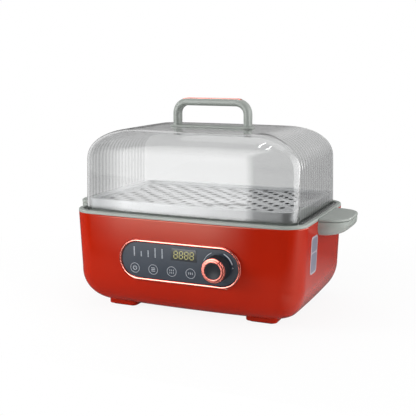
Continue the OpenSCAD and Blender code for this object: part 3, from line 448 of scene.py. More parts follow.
def clearFinish():
    # tinted glass whose tint carries painted shade, and a plain see-through shader for rays from lamps so that
    # they reach what is inside
    material = newFinish(
        "clearLid", "mould", clear["dark"], clear["light"], clear["rough"], clear["bump"],
        {"Grain": clear["grain"]}, {"Transmission Weight": 1.0, "IOR": clear["index"]},
    )
    tree = material.node_tree
    glass = tree.nodes["Principled BSDF"]
    tone = glass.inputs["Base Color"].links[0].from_socket
    share = addNode(tree, "Attribute", attribute_name="tintAndShade").outputs["Fac"]  # how much light comes through: the lid's tint with painted shade on its ends and top
    tintedAndShaded = addNode(tree, "VectorMath", {0: tone, "Scale": share}, operation="SCALE").outputs["Vector"]
    feed(tree, glass, {"Base Color": tintedAndShaded})
    through = addNode(tree, "BsdfTransparent", {"Color": (*clear["lamp"], 1)}).outputs["BSDF"]
    fromLamp = addNode(tree, "LightPath").outputs["Is Shadow Ray"]
    surface = mixNode(tree, fromLamp, glass.outputs["BSDF"], through)
    feed(tree, tree.nodes["Material Output"], {"Surface": surface})
    return material


finishes["clear_plastic"] = clearFinish()
for node, solid in frame["nodes"].items():
    solid.data.materials.clear()
    solid.data.materials.append(finishes[slots[node]])
print("finishes on all", len(frame["nodes"]), "solids")


# Red tub: turned-in foot, leaning wall, holes for the panel and the mains socket
inletLow, inletHigh = nodeBox("power_inlet")
shell = dict(
    wall=2.8, turn=38.0, rise=48.0, baseCorner=18.0, openX=70.0, openY=53.0, openR=8.0,
    panelHole=(85.0, 26.0), socketHole=(23.0, 11.0), holeNear=12.0,
    floorSteps=6, turnSteps=28, wallSteps=44, ring=(18, 150, 50),
)


def punch(points, faces, place, half):
    # leaves out the faces whose middle is inside a capsule and draws the edge of the hole onto it
    away = points - place["at"]
    u, v, w = (away @ place[axis] for axis in ("right", "up", "out"))
    spine = np.clip(u, half[1] - half[0], half[0] - half[1])
    reach = np.hypot(u - spine, v)
    inside = (reach[faces].mean(1) < half[1]) & (np.abs(w[faces].mean(1)) < shell["holeNear"])
    edge = np.intersect1d(faces[inside], faces[~inside])
    pull = half[1] / reach[edge]
    points[edge] = onFace(place, spine[edge] + (u[edge] - spine[edge]) * pull, v[edge] * pull, w[edge])
    return points, faces[~inside]


def makeShell():
    # rows from the opening underneath, out over the floor, round the turned foot and up the wall
    baseZ = body["underZ"] + shell["rise"]
    baseInset = (rimZ - baseZ) * math.tan(body["lean"])
    turn = np.linspace(quarter, 0, shell["turnSteps"] + 1)
    climb = np.linspace(0, 1, shell["wallSteps"] + 1)[1:]
    inset = np.concatenate([baseInset + shell["turn"] * (1 - np.cos(turn)), baseInset * (1 - climb)])
    cornerDrop = (body["cornerR"] - shell["baseCorner"]) * turn / quarter
    r = np.concatenate([body["cornerR"] - cornerDrop, np.full(len(climb), body["cornerR"])])
    z = np.concatenate([baseZ - shell["rise"] * np.sin(turn), baseZ + (rimZ - baseZ) * climb])
    out = np.linspace(0, 1, shell["floorSteps"] + 1)[:-1]

    def floorFirst(opening, wall):  # the floor's rows run from the opening to the first row of the wall
        return np.concatenate([opening + (wall[0] - opening) * out, wall])

    points = planRings(
        ringShape(*shell["ring"]),
        floorFirst(shell["openX"], body["halfX"] - inset),
        floorFirst(shell["openY"], body["halfY"] - inset),
        floorFirst(shell["openR"], r),
        floorFirst(body["underZ"], z),
    )
    faces = gridFaces(*points.shape[:2])
    points, faces = punch(points.reshape(-1, 3), faces, panelFace, shell["panelHole"])
    socketAt = [0, inletHigh[1], (inletLow[2] + inletHigh[2]) / 2]
    socketOut = [0, math.cos(body["lean"]), -math.sin(body["lean"])]
    points, faces = punch(points, faces, faceFrame(socketAt, socketOut), shell["socketHole"])
    used, faces = np.unique(faces, return_inverse=True)
    return points[used], faces.reshape(-1, 4)


addWall(addPiece("tubShell", makeShell(), "base", ["housing"], closed=False), shell["wall"])
print("tub made")


# Grey rim: the lid's channel, the upstand for the tray and the ledge for the pan
rim = dict(
    lip=6.4, lipTop=4.0, channel=0.5, upstand=(16.8, 19.2), upstandTop=17.0, ledge=27.6, ledgeZ=(-2.0, 3.0),
    skirt=(3.0, 5.4), skirtFoot=-6.0, ring=(14, 60, 36),
)


def makeRim():
    # a softened section carried round the body's plan: inset, height and rounding of each corner
    lip, top, channel, ledge = rim["lip"], rim["lipTop"], rim["channel"], rim["ledge"]
    (outer, inner), high = rim["upstand"], rim["upstandTop"]
    (under, over), (near, far), foot = rim["ledgeZ"], rim["skirt"], rim["skirtFoot"]
    corners = [
        (0, 0, 0.3), (0, top, 1.5), (lip, top, 1.3), (lip, channel, 0.4), (outer, channel, 0.5),
        (outer, high, 0.6), (inner, high, 0.6), (inner, over, 0.5), (ledge, over, 0.5), (ledge, under, 0.3),
        (far, under, 0.3), (far, foot, 0.4), (near, foot, 0.4), (near, 0, 0.2),
    ]
    return looped(bodyRings(ringShape(*rim["ring"]), softSection(corners), rimZ))


addPiece("rimTrim", makeRim(), "base", ["rim_trim"])


# Water pan: a flange on the ledge and a drafted bowl
pan = dict(
    mouth=28.1, flange=19.6, flangeZ=4.2, sheet=1.2, depth=52.0, turn=16.0, corner=18.0,
    draft=math.radians(3), edge=0.3, topEdge=0.4, bend=(0.8, 0.6, 0.1),
    turnSteps=10, floorSteps=5, ring=(10, 40, 24),
)


def bowl(ring, wall):  # the wall drops straight, turns a quarter circle and runs in over the floor
    turn = np.linspace(0, quarter, pan["turnSteps"])
    r = pan["turn"] - wall
    inset = pan["mouth"] + wall + pan["depth"] * math.tan(pan["draft"]) + r * (1 - np.cos(turn))
    z = rimZ + pan["flangeZ"] - pan["depth"] - r * np.sin(turn)
    rows = planRings(ring, body["halfX"] - inset, body["halfY"] - inset, pan["corner"] - wall, z)
    return np.concatenate([rows, towardsMiddle(rows[-1], pan["floorSteps"])])


def makePan():
    # outside of the bowl upwards, over the flange and down the inside
    ring = ringShape(*pan["ring"])
    mouth, out, sheet, edge = pan["mouth"], pan["flange"], pan["sheet"], pan["edge"]
    before, after, side = pan["bend"]  # where the flange bends over into the bowl
    flange = [
        (mouth, 0), (out + edge, 0), (out, edge), (out, sheet - edge), (out + pan["topEdge"], sheet),
        (mouth - before, sheet), (mouth + after, sheet - edge), (mouth + sheet + side, -before),
    ]
    flangeRows = bodyRings(ring, flange, rimZ + pan["flangeZ"])
    return capped(np.concatenate([bowl(ring, 0.0)[::-1], flangeRows, bowl(ring, sheet)]))


addPiece("waterPan", makePan(), "base", ["water_pan"])
print("rim and pan made")


# Steaming tray: a rolled lip, a floor pierced in slanting rows, and pressed ribs between the rows
tray = dict(
    outside=15.5, sheet=0.9, skirtFoot=5.0, seat=17.0, top=18.8, wall=19.6, wallLean=(0.4, 1.0),
    floorEdge=23.0, floorTop=15.4, lipRing=(14, 60, 36), lipSteps=5, floorRing=(8, 40, 26), mergeWithin=1e-5,
    slotLong=10.5, slotWide=6.4, slotPitch=16.6, rowPitch=20.4, margin=12.0, slotSteps=8, rows=16, cells=24,
    ribs=11, ribHigh=0.4, ribWide=1.8, ribSink=0.02, ribPast=3.0, ribLeast=16.0, ribFade=7.0,
    ribSteps=(24, 9),
)


def makeTrayLip():
    # a softened section from the skirt's foot over the lip, down to the floor and back underneath
    out, wall, edge, sheet = tray["outside"], tray["wall"], tray["floorEdge"], tray["sheet"]
    foot, seat, top, floor = tray["skirtFoot"], tray["seat"], tray["top"], tray["floorTop"]
    upper, lower = tray["wallLean"]
    corners = [
        (out, foot, 0.3), (out, top, 1.6), (wall + upper, top, 1.4), (wall + lower, floor, 1.0),
        (edge, floor, 0.05), (edge, floor - sheet, 0.05), (wall, floor - sheet, 0.5), (wall, seat, 0.4),
        (out + sheet, seat, 0.5), (out + sheet, foot, 0.3),
    ]
    return looped(bodyRings(ringShape(*tray["lipRing"]), softSection(corners, tray["lipSteps"]), rimZ))


def slanted(along, across):  # rows run along (1,-1), at 45 degrees to the body
    return (along + across) / math.sqrt(2), (across - along) / math.sqrt(2)


def slotCentres():
    # a grid of slots in slanting rows: every other row is set back by half a pitch
    rows, cells = tray["rows"], tray["cells"]
    row, cell = np.meshgrid(np.arange(-rows, rows), np.arange(-cells, cells + 1), indexing="ij")
    x, y = slanted((cell + 0.5 * (row % 2)) * tray["slotPitch"], (row + 0.5) * tray["rowPitch"])
    reach = tray["wall"] + tray["margin"] + tray["slotLong"] / 2
    kept = (np.abs(x) < body["halfX"] - reach) & (np.abs(y) < body["halfY"] - reach)
    return np.stack([x[kept], y[kept]], -1)


def makeTrayFloor():
    # the rim of the sheet and the edge of every slot, filled with triangles and left open inside the slots
    edge = bodyRings(ringShape(*tray["floorRing"]), [(tray["floorEdge"], 0)], 0)[0, :, :2] - [0, planY]
    shape = capsuleShape(tray["slotSteps"], 1)
    r = tray["slotWide"] / 2
    slot = np.stack([shape["ny"] * r, shape["kx"] * (tray["slotLong"] / 2 - r) + shape["nx"] * r], -1)
    loops = [edge, *(slotCentres()[:, None] + slot)]
    orders = [np.arange(len(loop)) for loop in loops]
    starts = np.cumsum([0] + [len(loop) for loop in loops])
    edges = [start + np.stack([order, np.roll(order, -1)], -1) for start, order in zip(starts, orders)]
    leaveHoles = 3  # the way of filling that leaves inner loops open
    filled = delaunay_2d_cdt(
        np.concatenate(loops).tolist(), np.concatenate(edges).tolist(), [], leaveHoles, tray["mergeWithin"]
    )
    flat = np.array(filled[0])
    return stack(flat[:, 0], flat[:, 1] + planY, rimZ + tray["floorTop"]), filled[2]


def makeTrayRibs():
    # one low ridge midway between two rows of slots, a squared cosine across that dies out at both ends
    across = np.arange(-tray["ribs"], tray["ribs"] + 1) * tray["rowPitch"]
    edge = tray["wall"] + tray["margin"] - tray["ribPast"]
    limitX = (body["halfX"] - edge) * math.sqrt(2)
    limitY = (body["halfY"] - edge) * math.sqrt(2)
    start = np.maximum(-limitX - across, across - limitY)
    length = np.minimum(limitX - across, across + limitY) - start
    kept = length > tray["ribLeast"]
    across, start, length = (k[kept, None, None] for k in (across, start, length))
    steps, sideSteps = tray["ribSteps"]
    s = np.linspace(0, 1, steps)[:, None]
    side = np.linspace(-1, 1, sideSteps)
    fade = smoothStep(np.minimum(s, 1 - s) * length, 0, tray["ribFade"])
    x, y = slanted(start + length * s, across + side * tray["ribWide"] / 2)
    z = tray["ribHigh"] * fade * np.cos(side * quarter) ** 2 - tray["ribSink"]
    points = stack(x, y + planY, z + rimZ + tray["floorTop"])
    return joined([(rib, gridFaces(steps, sideSteps, closeColumns=False)) for rib in points])


addPiece("trayLip", makeTrayLip(), "tray", ["steam_tray"], finish=paint["lip"])
addWall(addPiece("trayFloor", makeTrayFloor(), "tray", slot="tray_steel", closed=False), tray["sheet"])
addPiece("trayRibs", makeTrayRibs(), "tray", slot="tray_steel", closed=False)
print("tray made with", len(slotCentres()), "slots")


# Clear lid: upright walls, a long shoulder at each end, fluted ends
lidLow, lidHigh = nodeBox("lid_shell")
lid = dict(
    footZ=lidLow[2], topZ=lidHigh[2], flangeIn=6.9, flange=2.2, flangeEdge=0.5, wallIn=11.1, wallFoot=0.6,
    wall=2.4, draft=math.radians(1.1), shoulder=45.0, flatHalf=92.0, power=2.1, edgeR=30.0, cornerDraw=4.0,
    flutePitch=9.6, fluteDeep=0.11, fluteFrom=0.97, fluteFade=10,
    # painted shade: the tint of the ends, of their grooves and ridges, and of the flat top is drawn darker than
    # the wall's
    wallTint=0.775, endShade=(0.51, 0.74), endFrom=0.96, topShade=0.71, topFrom=(8.0, 3.0),
    wallSteps=14, turnSteps=70, topSteps=7, ring=(26, 56, 152), sharp=60,
)


def lidRings(ring, rise, wall):
    # rise runs from 0 at the shoulder's start to 1 at the top: the length follows a rounded quarter curve,
    # the depth leans in and then turns over a quarter circle
    top = lid["topZ"] - wall
    shoulder = lid["shoulder"] - wall
    z = top - shoulder + shoulder * rise
    lean = (z - lid["footZ"]) * math.tan(lid["draft"])
    wide = body["halfX"] - lid["wallIn"] - wall - (top - shoulder - lid["footZ"]) * math.tan(lid["draft"])
    hx = lid["flatHalf"] + (wide - lid["flatHalf"]) * (1 - rise ** lid["power"]) ** (1 / lid["power"])
    edge = lid["edgeR"] - wall
    over = np.maximum(z - top + edge, 0) / edge
    hy = body["halfY"] - lid["wallIn"] - wall - lean - edge * (1 - np.sqrt(1 - over**2))
    r = body["cornerR"] - lid["wallIn"] - wall - lid["cornerDraw"] * rise
    return planRings(ring, hx, hy, r, z), hx


def flutes(points):  # 0 on the ridges and 1 in the grooves, by the way across the end
    return wave((points[..., 1] - planY) / lid["flutePitch"] * fullTurn)


def makeLid():
    # from the middle of the ceiling down the inside, round the flange, up the outside and over the top
    ring = ringShape(*lid["ring"])
    rise = np.sin(np.linspace(0, quarter, lid["turnSteps"])) ** (2 / lid["power"])
    rise[-1] = 1.0
    outer, hx = lidRings(ring, rise, 0.0)
    inner = lidRings(ring, rise[::2], lid["wall"])[0]
    climb = np.linspace(0, 1, lid["wallSteps"] + 1)[:-1, None, None]
    footRing = bodyRings(ring, [(lid["wallIn"], lid["flange"])], lid["footZ"])[0]
    sides = np.concatenate([footRing + (outer[0] - footRing) * climb, outer])
    # the flutes press the outer face of the ends in along its own normal
    slopeX = np.gradient(np.concatenate([np.full(len(climb), hx[0]), hx]))
    slopeZ = np.gradient(sides[:, 0, 2])
    slope = np.hypot(slopeX, slopeZ)
    end = smoothStep(np.abs(ring["nx"]), lid["fluteFrom"], 1.0)
    fade = np.concatenate([np.ones(len(climb)), 1 - rise ** lid["fluteFade"]])[:, None]
    press = lid["fluteDeep"] * flutes(sides) * end * fade
    sides[..., 0] -= press * np.sign(ring["nx"]) * (slopeZ / slope)[:, None]
    sides[..., 2] += press * (slopeX / slope)[:, None]
    out, edge, thick = lid["flangeIn"], lid["flangeEdge"], lid["flange"]
    flange = [
        (lid["wallIn"] + lid["wall"], 0), (out + edge, 0), (out, edge),
        (out, thick - edge), (out + edge, thick), (lid["wallIn"] - lid["wallFoot"], thick),
    ]
    flangeRows = bodyRings(ring, flange, lid["footZ"])
    under = towardsMiddle(inner[-1], lid["topSteps"])
    over = towardsMiddle(outer[-1], lid["topSteps"])
    return capped(np.concatenate([under[::-1], inner[::-1], flangeRows, sides, over]))


def lidTintAndShade(points):
    # painted shade in the lid's tint: dark lines along the flutes on both faces of the ends, darker ends overall,
    # and a darker flat top
    end = smoothStep(np.abs(ringShape(*lid["ring"])["nx"]), lid["endFrom"], 1.0)
    deep, pale = lid["endShade"]
    tintAndShade = lid["wallTint"] + end * (pale - (pale - deep) * flutes(points) - lid["wallTint"])
    flat = smoothStep(points[..., 2], *(lid["topZ"] - np.array(lid["topFrom"])))
    return tintAndShade + (lid["topShade"] - tintAndShade) * flat


lidShape = makeLid()
lidShell = addPiece("lidShell", lidShape, "lid", ["lid_shell"], sharp=lid["sharp"])
# the lid's tint with its painted shade, one value at each point
tintAndShadeValues = lidShell.data.attributes.new("tintAndShade", "FLOAT", "POINT").data
tintAndShadeValues.foreach_set("value", lidTintAndShade(lidShape[0]).ravel())
print("lid made")


# Carrying handle: a bar on two legs with round turns, its base plate and a plated strip along the top
gripLow, gripHigh = nodeBox("lid_handle")
baseLow, baseHigh = nodeBox("handle_base")
accentLow, accentHigh = nodeBox("handle_accent")
grip = dict(
    half=gripHigh[0], footZ=gripLow[2], topZ=gripHigh[2], halfDeep=(gripHigh[1] - gripLow[1]) / 2,
    turn=21.0, leg=9.0, bar=10.0, edge=4.2, halfThick=4.75, split=1e-6,
    turnSteps=22, legSteps=6, ring=(7, 2, 3),
    stripDeep=(accentHigh[1] - accentLow[1]) / 2, stripPast=math.radians(18), stripUp=0.5, stripSink=0.3,
    stripThick=0.55, stripEdge=0.4, stripSteps=10, stripRing=(4, 2, 6),
    plateCorner=10.0, plateEdge=1.3, plateRing=(10, 20, 4),
)


def archAngles(start, steps):  # from the right turn over to the left one, parted at the very middle
    right = np.linspace(start, quarter - grip["split"], steps)
    return np.concatenate([right, math.pi - right[::-1]])


def archEdge(angle, reachX, reachZ):
    # a quarter ellipse about the centre of each turn, from 0 at the right leg to 180 degrees at the left one
    x = np.sign(quarter - angle) * (grip["half"] - grip["turn"]) + reachX * np.cos(angle)
    return np.stack([x, grip["topZ"] - grip["turn"] + reachZ * np.sin(angle)], -1)


def archRows(outer, inner, ring, halfDeep, halfThick, edge):
    # a rounded section set between the inner and the outer edge at each station
    q = (ring["kx"] * (halfThick - edge) + ring["nx"] * edge) / halfThick
    deep = ring["ky"] * (halfDeep - edge) + ring["ny"] * edge
    across = (outer + inner)[:, None] / 2 + (outer - inner)[:, None] / 2 * q[None, :, None]
    return stack(across[..., 0], deep + planY, across[..., 1])


def makeGrip():
    # the section goes up the right leg, over both turns and down the left leg
    angle = archAngles(0, grip["turnSteps"])
    legs = np.linspace(grip["footZ"], grip["topZ"] - grip["turn"], grip["legSteps"])[:-1]

    def withLegs(reachX, reachZ):
        edge = archEdge(angle, reachX, reachZ)
        x = np.full(len(legs), edge[0, 0])
        return np.concatenate([np.stack([x, legs], -1), edge, np.stack([-x, legs[::-1]], -1)])

    outer = withLegs(grip["turn"], grip["turn"])
    inner = withLegs(grip["turn"] - grip["leg"], grip["turn"] - grip["bar"])
    ring = ringShape(*grip["ring"])
    return capped(archRows(outer, inner, ring, grip["halfDeep"], grip["halfThick"], grip["edge"]))


def makeStrip():
    # a thin section along the top that reaches a little way into both turns
    angle = archAngles(quarter - grip["stripPast"], grip["stripSteps"])
    reaches = grip["turn"] + grip["stripUp"], grip["turn"] - grip["stripSink"]
    outer, inner = (archEdge(angle, reach, reach) for reach in reaches)
    ring = ringShape(*grip["stripRing"])
    return capped(archRows(outer, inner, ring, grip["stripDeep"], grip["stripThick"], grip["stripEdge"]))


def makeSlab(ring, hx, hy, r, levels, steps=3):
    # rings of one plan at given insets and heights, closed towards the middle at both ends
    inset, z = np.array(levels, float).T
    return filledIn(planRings(ring, hx - inset, hy - inset, r - inset, z, bow=0), steps)


def roundedLevels(low, high, edge, steps=5, bevel=0.3):  # an upright side whose top edge is a quarter circle
    turn = np.linspace(0, quarter, steps)
    top = np.stack([edge * (1 - np.cos(turn)), high - edge + edge * np.sin(turn)], -1)
    return np.concatenate([[(bevel, low), (0.0, low + bevel)], top])


def makeGripPlate():
    levels = roundedLevels(baseLow[2], baseHigh[2], grip["plateEdge"])
    halfY = (baseHigh[1] - baseLow[1]) / 2
    return makeSlab(ringShape(*grip["plateRing"]), baseHigh[0], halfY, grip["plateCorner"], levels)


addPiece("gripBar", makeGrip(), "lid", ["lid_handle"])
addPiece("gripStrip", makeStrip(), "lid", ["handle_accent"])
addPiece("gripPlate", makeGripPlate(), "lid", ["handle_base"])
print("carrying handle made")


# Side handles: a flat cap over a bowl-shaped grip with a thin groove between them
ear = dict(
    corner=29.0, cornerShare=0.82, capEdge=1.3, gripTurn=13.0, gripNarrow=11.0, gripRise=14.0, gripEdge=0.4,
    groove=1.3, grooveHigh=0.8, arcSteps=15, frontSteps=14, rootSteps=22, turnSteps=18, closeSteps=4,
)


def earRing(reach, halfWide, r, z):
    # a D in plan: two round corners joined by a straight front, closed by a straight root
    reach, halfWide, r = column(reach), column(halfWide), column(r)
    arc = np.linspace(-quarter, 0, ear["arcSteps"])
    front = np.linspace(-1, 1, ear["frontSteps"])[1:-1]
    root = np.linspace(1, -1, ear["rootSteps"])
    angle = np.concatenate([arc, front * 0, arc + quarter])
    side = np.concatenate([-np.ones(len(arc)), front, np.ones(len(arc))])
    u = np.concatenate([reach - r + r * np.cos(angle), root * 0 * reach], 1)
    v = np.concatenate([side * (halfWide - r) + r * np.sin(angle), root * halfWide], 1)
    return stack(u, v, column(z))


def addEar(name, sign):
    # the cap has a rounded top edge, the grip widens over a quarter ellipse and steps in at the groove
    capLow, capHigh = nodeBox("handle_cap_" + name)
    bowlLow, bowlHigh = nodeBox("handle_grip_" + name)
    half = (capHigh[1] - capLow[1]) / 2
    middleY = (capHigh[1] + capLow[1]) / 2

    def place(piece, node, root, rows):
        points, faces = filledIn(rows, ear["closeSteps"])
        shape = (points + [root, middleY, 0]) * [sign, 1, 1], faces
        addPiece(piece + name.title(), shape, "base", [node + name])

    root, tip = sorted((abs(capLow[0]), abs(capHigh[0])))
    inset, z = roundedLevels(capLow[2], capHigh[2], ear["capEdge"]).T
    place("earCap", "handle_cap_", root, earRing(tip - root - inset, half - inset, ear["corner"] - inset, z))
    root, tip = sorted((abs(bowlLow[0]), abs(bowlHigh[0])))
    turn = np.linspace(quarter, 0, ear["turnSteps"])
    drawn = 1 - np.cos(turn)
    edge, top = ear["gripEdge"], capLow[2] - ear["grooveHigh"]
    stepIn = [0, edge, ear["groove"], ear["groove"]]
    reach = tip - root - np.concatenate([(tip - root - ear["gripTurn"]) * drawn, stepIn])
    wide = half - np.concatenate([ear["gripNarrow"] * drawn, stepIn])
    rise = bowlLow[2] + ear["gripRise"] * (1 - np.sin(turn))
    z = np.concatenate([rise, [top - edge, top, top, capLow[2]]])
    r = np.minimum(ear["corner"], reach * ear["cornerShare"])
    place("earGrip", "handle_grip_", root, earRing(reach, wide, r, z))


addEar("right", 1)
addEar("left", -1)
print("side handles made")


# Feet: red blocks with rounded lower edges
feetLow, feetHigh = nodeBox("feet")
foot = dict(halfX=21.5, halfY=14.0, corner=6.0, lowerEdge=1.6, edgeSteps=6, ring=(8, 6, 4))


def makeFeet():
    # one block whose lower edge is a quarter circle, set at the four corners
    turn = np.linspace(0, quarter, foot["edgeSteps"])
    edge = foot["lowerEdge"]
    low = np.stack([edge * (1 - np.sin(turn)), feetLow[2] + edge * (1 - np.cos(turn))], -1)
    levels = np.concatenate([low, [(0, feetHigh[2])]])
    block, faces = makeSlab(ringShape(*foot["ring"]), foot["halfX"], foot["halfY"], foot["corner"], levels)
    x = feetHigh[0] - foot["halfX"]
    y = (feetHigh[1] - feetLow[1]) / 2 - foot["halfY"]
    return joined([(block + [sx * x, sy * y, 0], faces) for sx in (1, -1) for sy in (1, -1)])


addPiece("footBlocks", makeFeet(), "base", ["feet"])
print("feet made")


# Panel: plated bead, window, lit digits, key rings and printed marks
panel = dict(
    half=(87.0, 28.0), bead=4.0, beadTop=2.4, seat=-3.5, front=0.6, sharp=50, beadSteps=13, beadRing=(36, 40),
    window=(7.7, 11.8), windowHalf=(18.4, 8.0), windowCorner=1.6, windowUp=0.12, windowEdge=0.3,
    windowDeep=1.0, windowSteps=4, windowRing=(5, 4, 3),
    ink=0.07, inkSink=0.1, keys=(-64.0, -37.0, -10.0, 17.0), keyY=-11.7, keyR=6.75, keyLine=0.5, keySteps=48,
    barX=(-64.3, -54.0, -43.8, -33.5, -23.3), barHigh=(13.0, 8.2, 10.6, 13.0, 13.6),
    barFoot=4.6, barWide=1.5, dash=1.3, dashGap=0.55,
)
icon = dict(
    stroke=0.7, ring=(2.3, 3.0), ringGap=math.radians(35), ringSteps=30, stem=3.0, stemUp=1.9,
    level=5.6, levelY=(2.2, 0, -2.2), columnX=(-2.6, 0, 2.6), tick=2.2, tickY=(1.7, -1.7), upright=3.0,
)
dial = dict(
    r=20.6, gap=math.radians(24), left=math.radians(70), right=math.radians(74), thick=(0.5, 1.6), steps=24,
    dotPast=math.radians(12), dotR=0.8, dotCorners=14,
)
inkLow = panel["front"] - panel["inkSink"]
inkHigh = panel["front"] + panel["ink"]


def makeBead():
    # a rounded bead round the capsule: flat sides below the panel's face, half an ellipse above it
    turn = np.linspace(0, math.pi, panel["beadSteps"])
    half = panel["bead"] / 2
    rise = panel["beadTop"] - panel["front"]
    bulge = np.stack([half * np.cos(turn), panel["front"] + rise * np.sin(turn)], -1)
    out, w = np.concatenate([[(half, panel["seat"])], bulge, [(-half, panel["seat"])]]).T
    hx, hy = (k - half + out for k in panel["half"])
    u, v = outline(capsuleShape(*panel["beadRing"]), hx, hy, hy, bow=0)
    return looped(onFace(panelFace, u, v, column(w)))


def makeWindow():
    # a rounded pane whose edge rises over a quarter of a sine
    (x, y), (halfX, halfY) = panel["window"], panel["windowHalf"]
    turn = np.linspace(0, 1, panel["windowSteps"])
    inset = np.concatenate([[0], panel["windowEdge"] * turn])
    up = np.concatenate([[-panel["windowDeep"]], panel["windowUp"] * np.sin(turn * quarter)])
    ring = ringShape(*panel["windowRing"])
    u, v = outline(ring, halfX - inset, halfY - inset, panel["windowCorner"], bow=0)
    return capped(onFace(panelFace, x + u, y + v, column(panel["front"] + up)))


def inkPrisms(shapes, low=inkLow, high=inkHigh):
    # flat shapes (count, corners, 2) on the panel, raised from low to high
    levels = np.array([low, high])[None, :, None]
    points = onFace(panelFace, shapes[:, None, :, 0], shapes[:, None, :, 1], levels)
    return joined([capped(prism) for prism in points])


def inkBand(angle, inner, outer, centre, closed=False):
    # a band between two radii, given clockwise from straight up
    r = np.stack(np.broadcast_arrays(outer + 0 * angle, outer, inner, inner))
    w = column([inkLow, inkHigh, inkHigh, inkLow])
    points = onFace(panelFace, centre[0] + r * np.sin(angle), centre[1] + r * np.cos(angle), w)
    points = np.moveaxis(points, 0, 1)
    return looped(points) if closed else capped(points)


def bars(centres, wide, high):  # oblongs about their centres
    corner = np.array([(-0.5, -0.5), (0.5, -0.5), (0.5, 0.5), (-0.5, 0.5)])
    return np.asarray(centres, float)[:, None] + corner * [wide, high]


def makePrint():
    # bands and oblongs of ink: each key's ring and icon, columns of dashes, two arcs and a dot by the knob
    full = np.linspace(0, fullTurn, panel["keySteps"], endpoint=False)
    keys = [np.array([x, panel["keyY"]]) for x in panel["keys"]]
    keyBand = panel["keyR"] - panel["keyLine"], panel["keyR"]
    shapes = [inkBand(full, *keyBand, key, closed=True) for key in keys]
    gap, stroke = icon["ringGap"], icon["stroke"]
    shapes.append(inkBand(np.linspace(gap, fullTurn - gap, icon["ringSteps"]), *icon["ring"], keys[0]))
    ticks = [keys[2] + [x, y] for y in icon["tickY"] for x in icon["columnX"]]
    step = panel["dash"] + panel["dashGap"]
    dashes = [
        (x, panel["barFoot"] + (k + 0.5) * step)
        for x, high in zip(panel["barX"], panel["barHigh"])
        for k in range(int(high / step))
    ]
    for marks in (
        bars([keys[0] + [0, icon["stemUp"]]], stroke, icon["stem"]),
        bars([keys[1] + [0, y] for y in icon["levelY"]], icon["level"], stroke),
        bars(ticks, stroke, icon["tick"]),
        bars([keys[3] + [x, 0] for x in icon["columnX"]], stroke, icon["upright"]),
        bars(dashes, panel["barWide"], panel["dash"]),
    ):
        shapes.append(inkPrisms(marks))
    thin, thick = dial["thick"]
    for start, end in ((-dial["left"], -dial["gap"]), (dial["gap"], dial["right"])):
        angle = np.linspace(start, end, dial["steps"])
        half = (thin + (thick - thin) * (angle + dial["left"]) / (dial["left"] + dial["right"])) / 2
        shapes.append(inkBand(angle, dial["r"] - half, dial["r"] + half, (knobAt[0], 0)))
    spot = dial["right"] + dial["dotPast"]
    turn = np.linspace(0, fullTurn, dial["dotCorners"], endpoint=False)
    dotX = knobAt[0] + dial["r"] * math.sin(spot) + dial["dotR"] * np.cos(turn)
    dotY = dial["r"] * math.cos(spot) + dial["dotR"] * np.sin(turn)
    shapes.append(inkPrisms(np.stack([dotX, dotY], -1)[None]))
    return joined(shapes)


digit = dict(
    count=4, wide=4.9, high=9.6, stroke=1.05, levelGap=1.5, uprightGap=1.2, slant=0.08, pitch=7.6,
    thick=0.15, sink=0.1,
)


def makeDigits():
    # seven bars a digit: three level ones and four upright ones, all leaning a little
    w, h, s = digit["wide"], digit["high"], digit["stroke"]
    level = [(0, h / 2), (0, 0), (0, -h / 2)]
    upright = [(sx * w / 2, sy * h / 4) for sx in (-1, 1) for sy in (-1, 1)]
    levelBars = bars(level, w - digit["levelGap"] * s, s)
    uprightBars = bars(upright, s, h / 2 - digit["uprightGap"] * s)
    places = (np.arange(digit["count"]) - (digit["count"] - 1) / 2) * digit["pitch"]
    shapes = np.concatenate([levelBars, uprightBars]) + np.stack([places, places * 0], -1)[:, None, None]
    shapes = shapes.reshape(-1, 4, 2)
    shapes[..., 0] += shapes[..., 1] * digit["slant"]
    low = panel["front"] + panel["windowUp"] - digit["sink"]
    return inkPrisms(shapes + panel["window"], low, low + digit["thick"])


addPiece("panelBead", makeBead(), "base", ["panel_bezel"], sharp=panel["sharp"])
addPiece("panelWindow", makeWindow(), "base", ["display_lens"])
addPiece("panelPrint", makePrint(), "base", finish=paint["print"])
addPiece("litDigits", makeDigits(), "base", finish=paint["glow"])
print("panel made")


# Knob: ribbed barrel, plated ring with a pointer notch, dished cap
knob = dict(
    barrelR=15.25, skirtR=17.4, back=1.8, backIn=4.0, edge=0.4, flareShare=0.6, band=1.0, sideSteps=9,
    step=15.0, out=18.5, ribs=60, ribDeep=0.45, ribSteps=8,
    ringR=16.25, bore=11.0, collarR=13.6, collarUp=1.7, collarLean=0.2, shoulderDip=0.1,
    ringSteps=480, sharp=50, notchAt=math.radians(38), notchHalf=(1.3, 0.9), notchFoot=0.6, notchDeep=0.9,
    capGap=0.08, capFoot=0.2, capEdge=((0, 0.9), (0.15, 0.55), (0.6, 0.45)), capSteps=72,
    dishIn=1.0, dishTop=0.5, dishDeep=1.5, dishHole=0.04, dishSteps=14,
)


def turned(profile, steps):  # radius, height and angle of a profile turned about the knob's axis
    r, w = np.array(profile, float).T
    return np.broadcast_arrays(r[:, None], w[:, None], np.linspace(0, fullTurn, steps, endpoint=False))


def onKnob(r, w, angle):  # the angle runs clockwise from straight up, as seen from the front
    return onFace(panelFace, knobAt[0] + r * np.sin(angle), r * np.cos(angle), w)


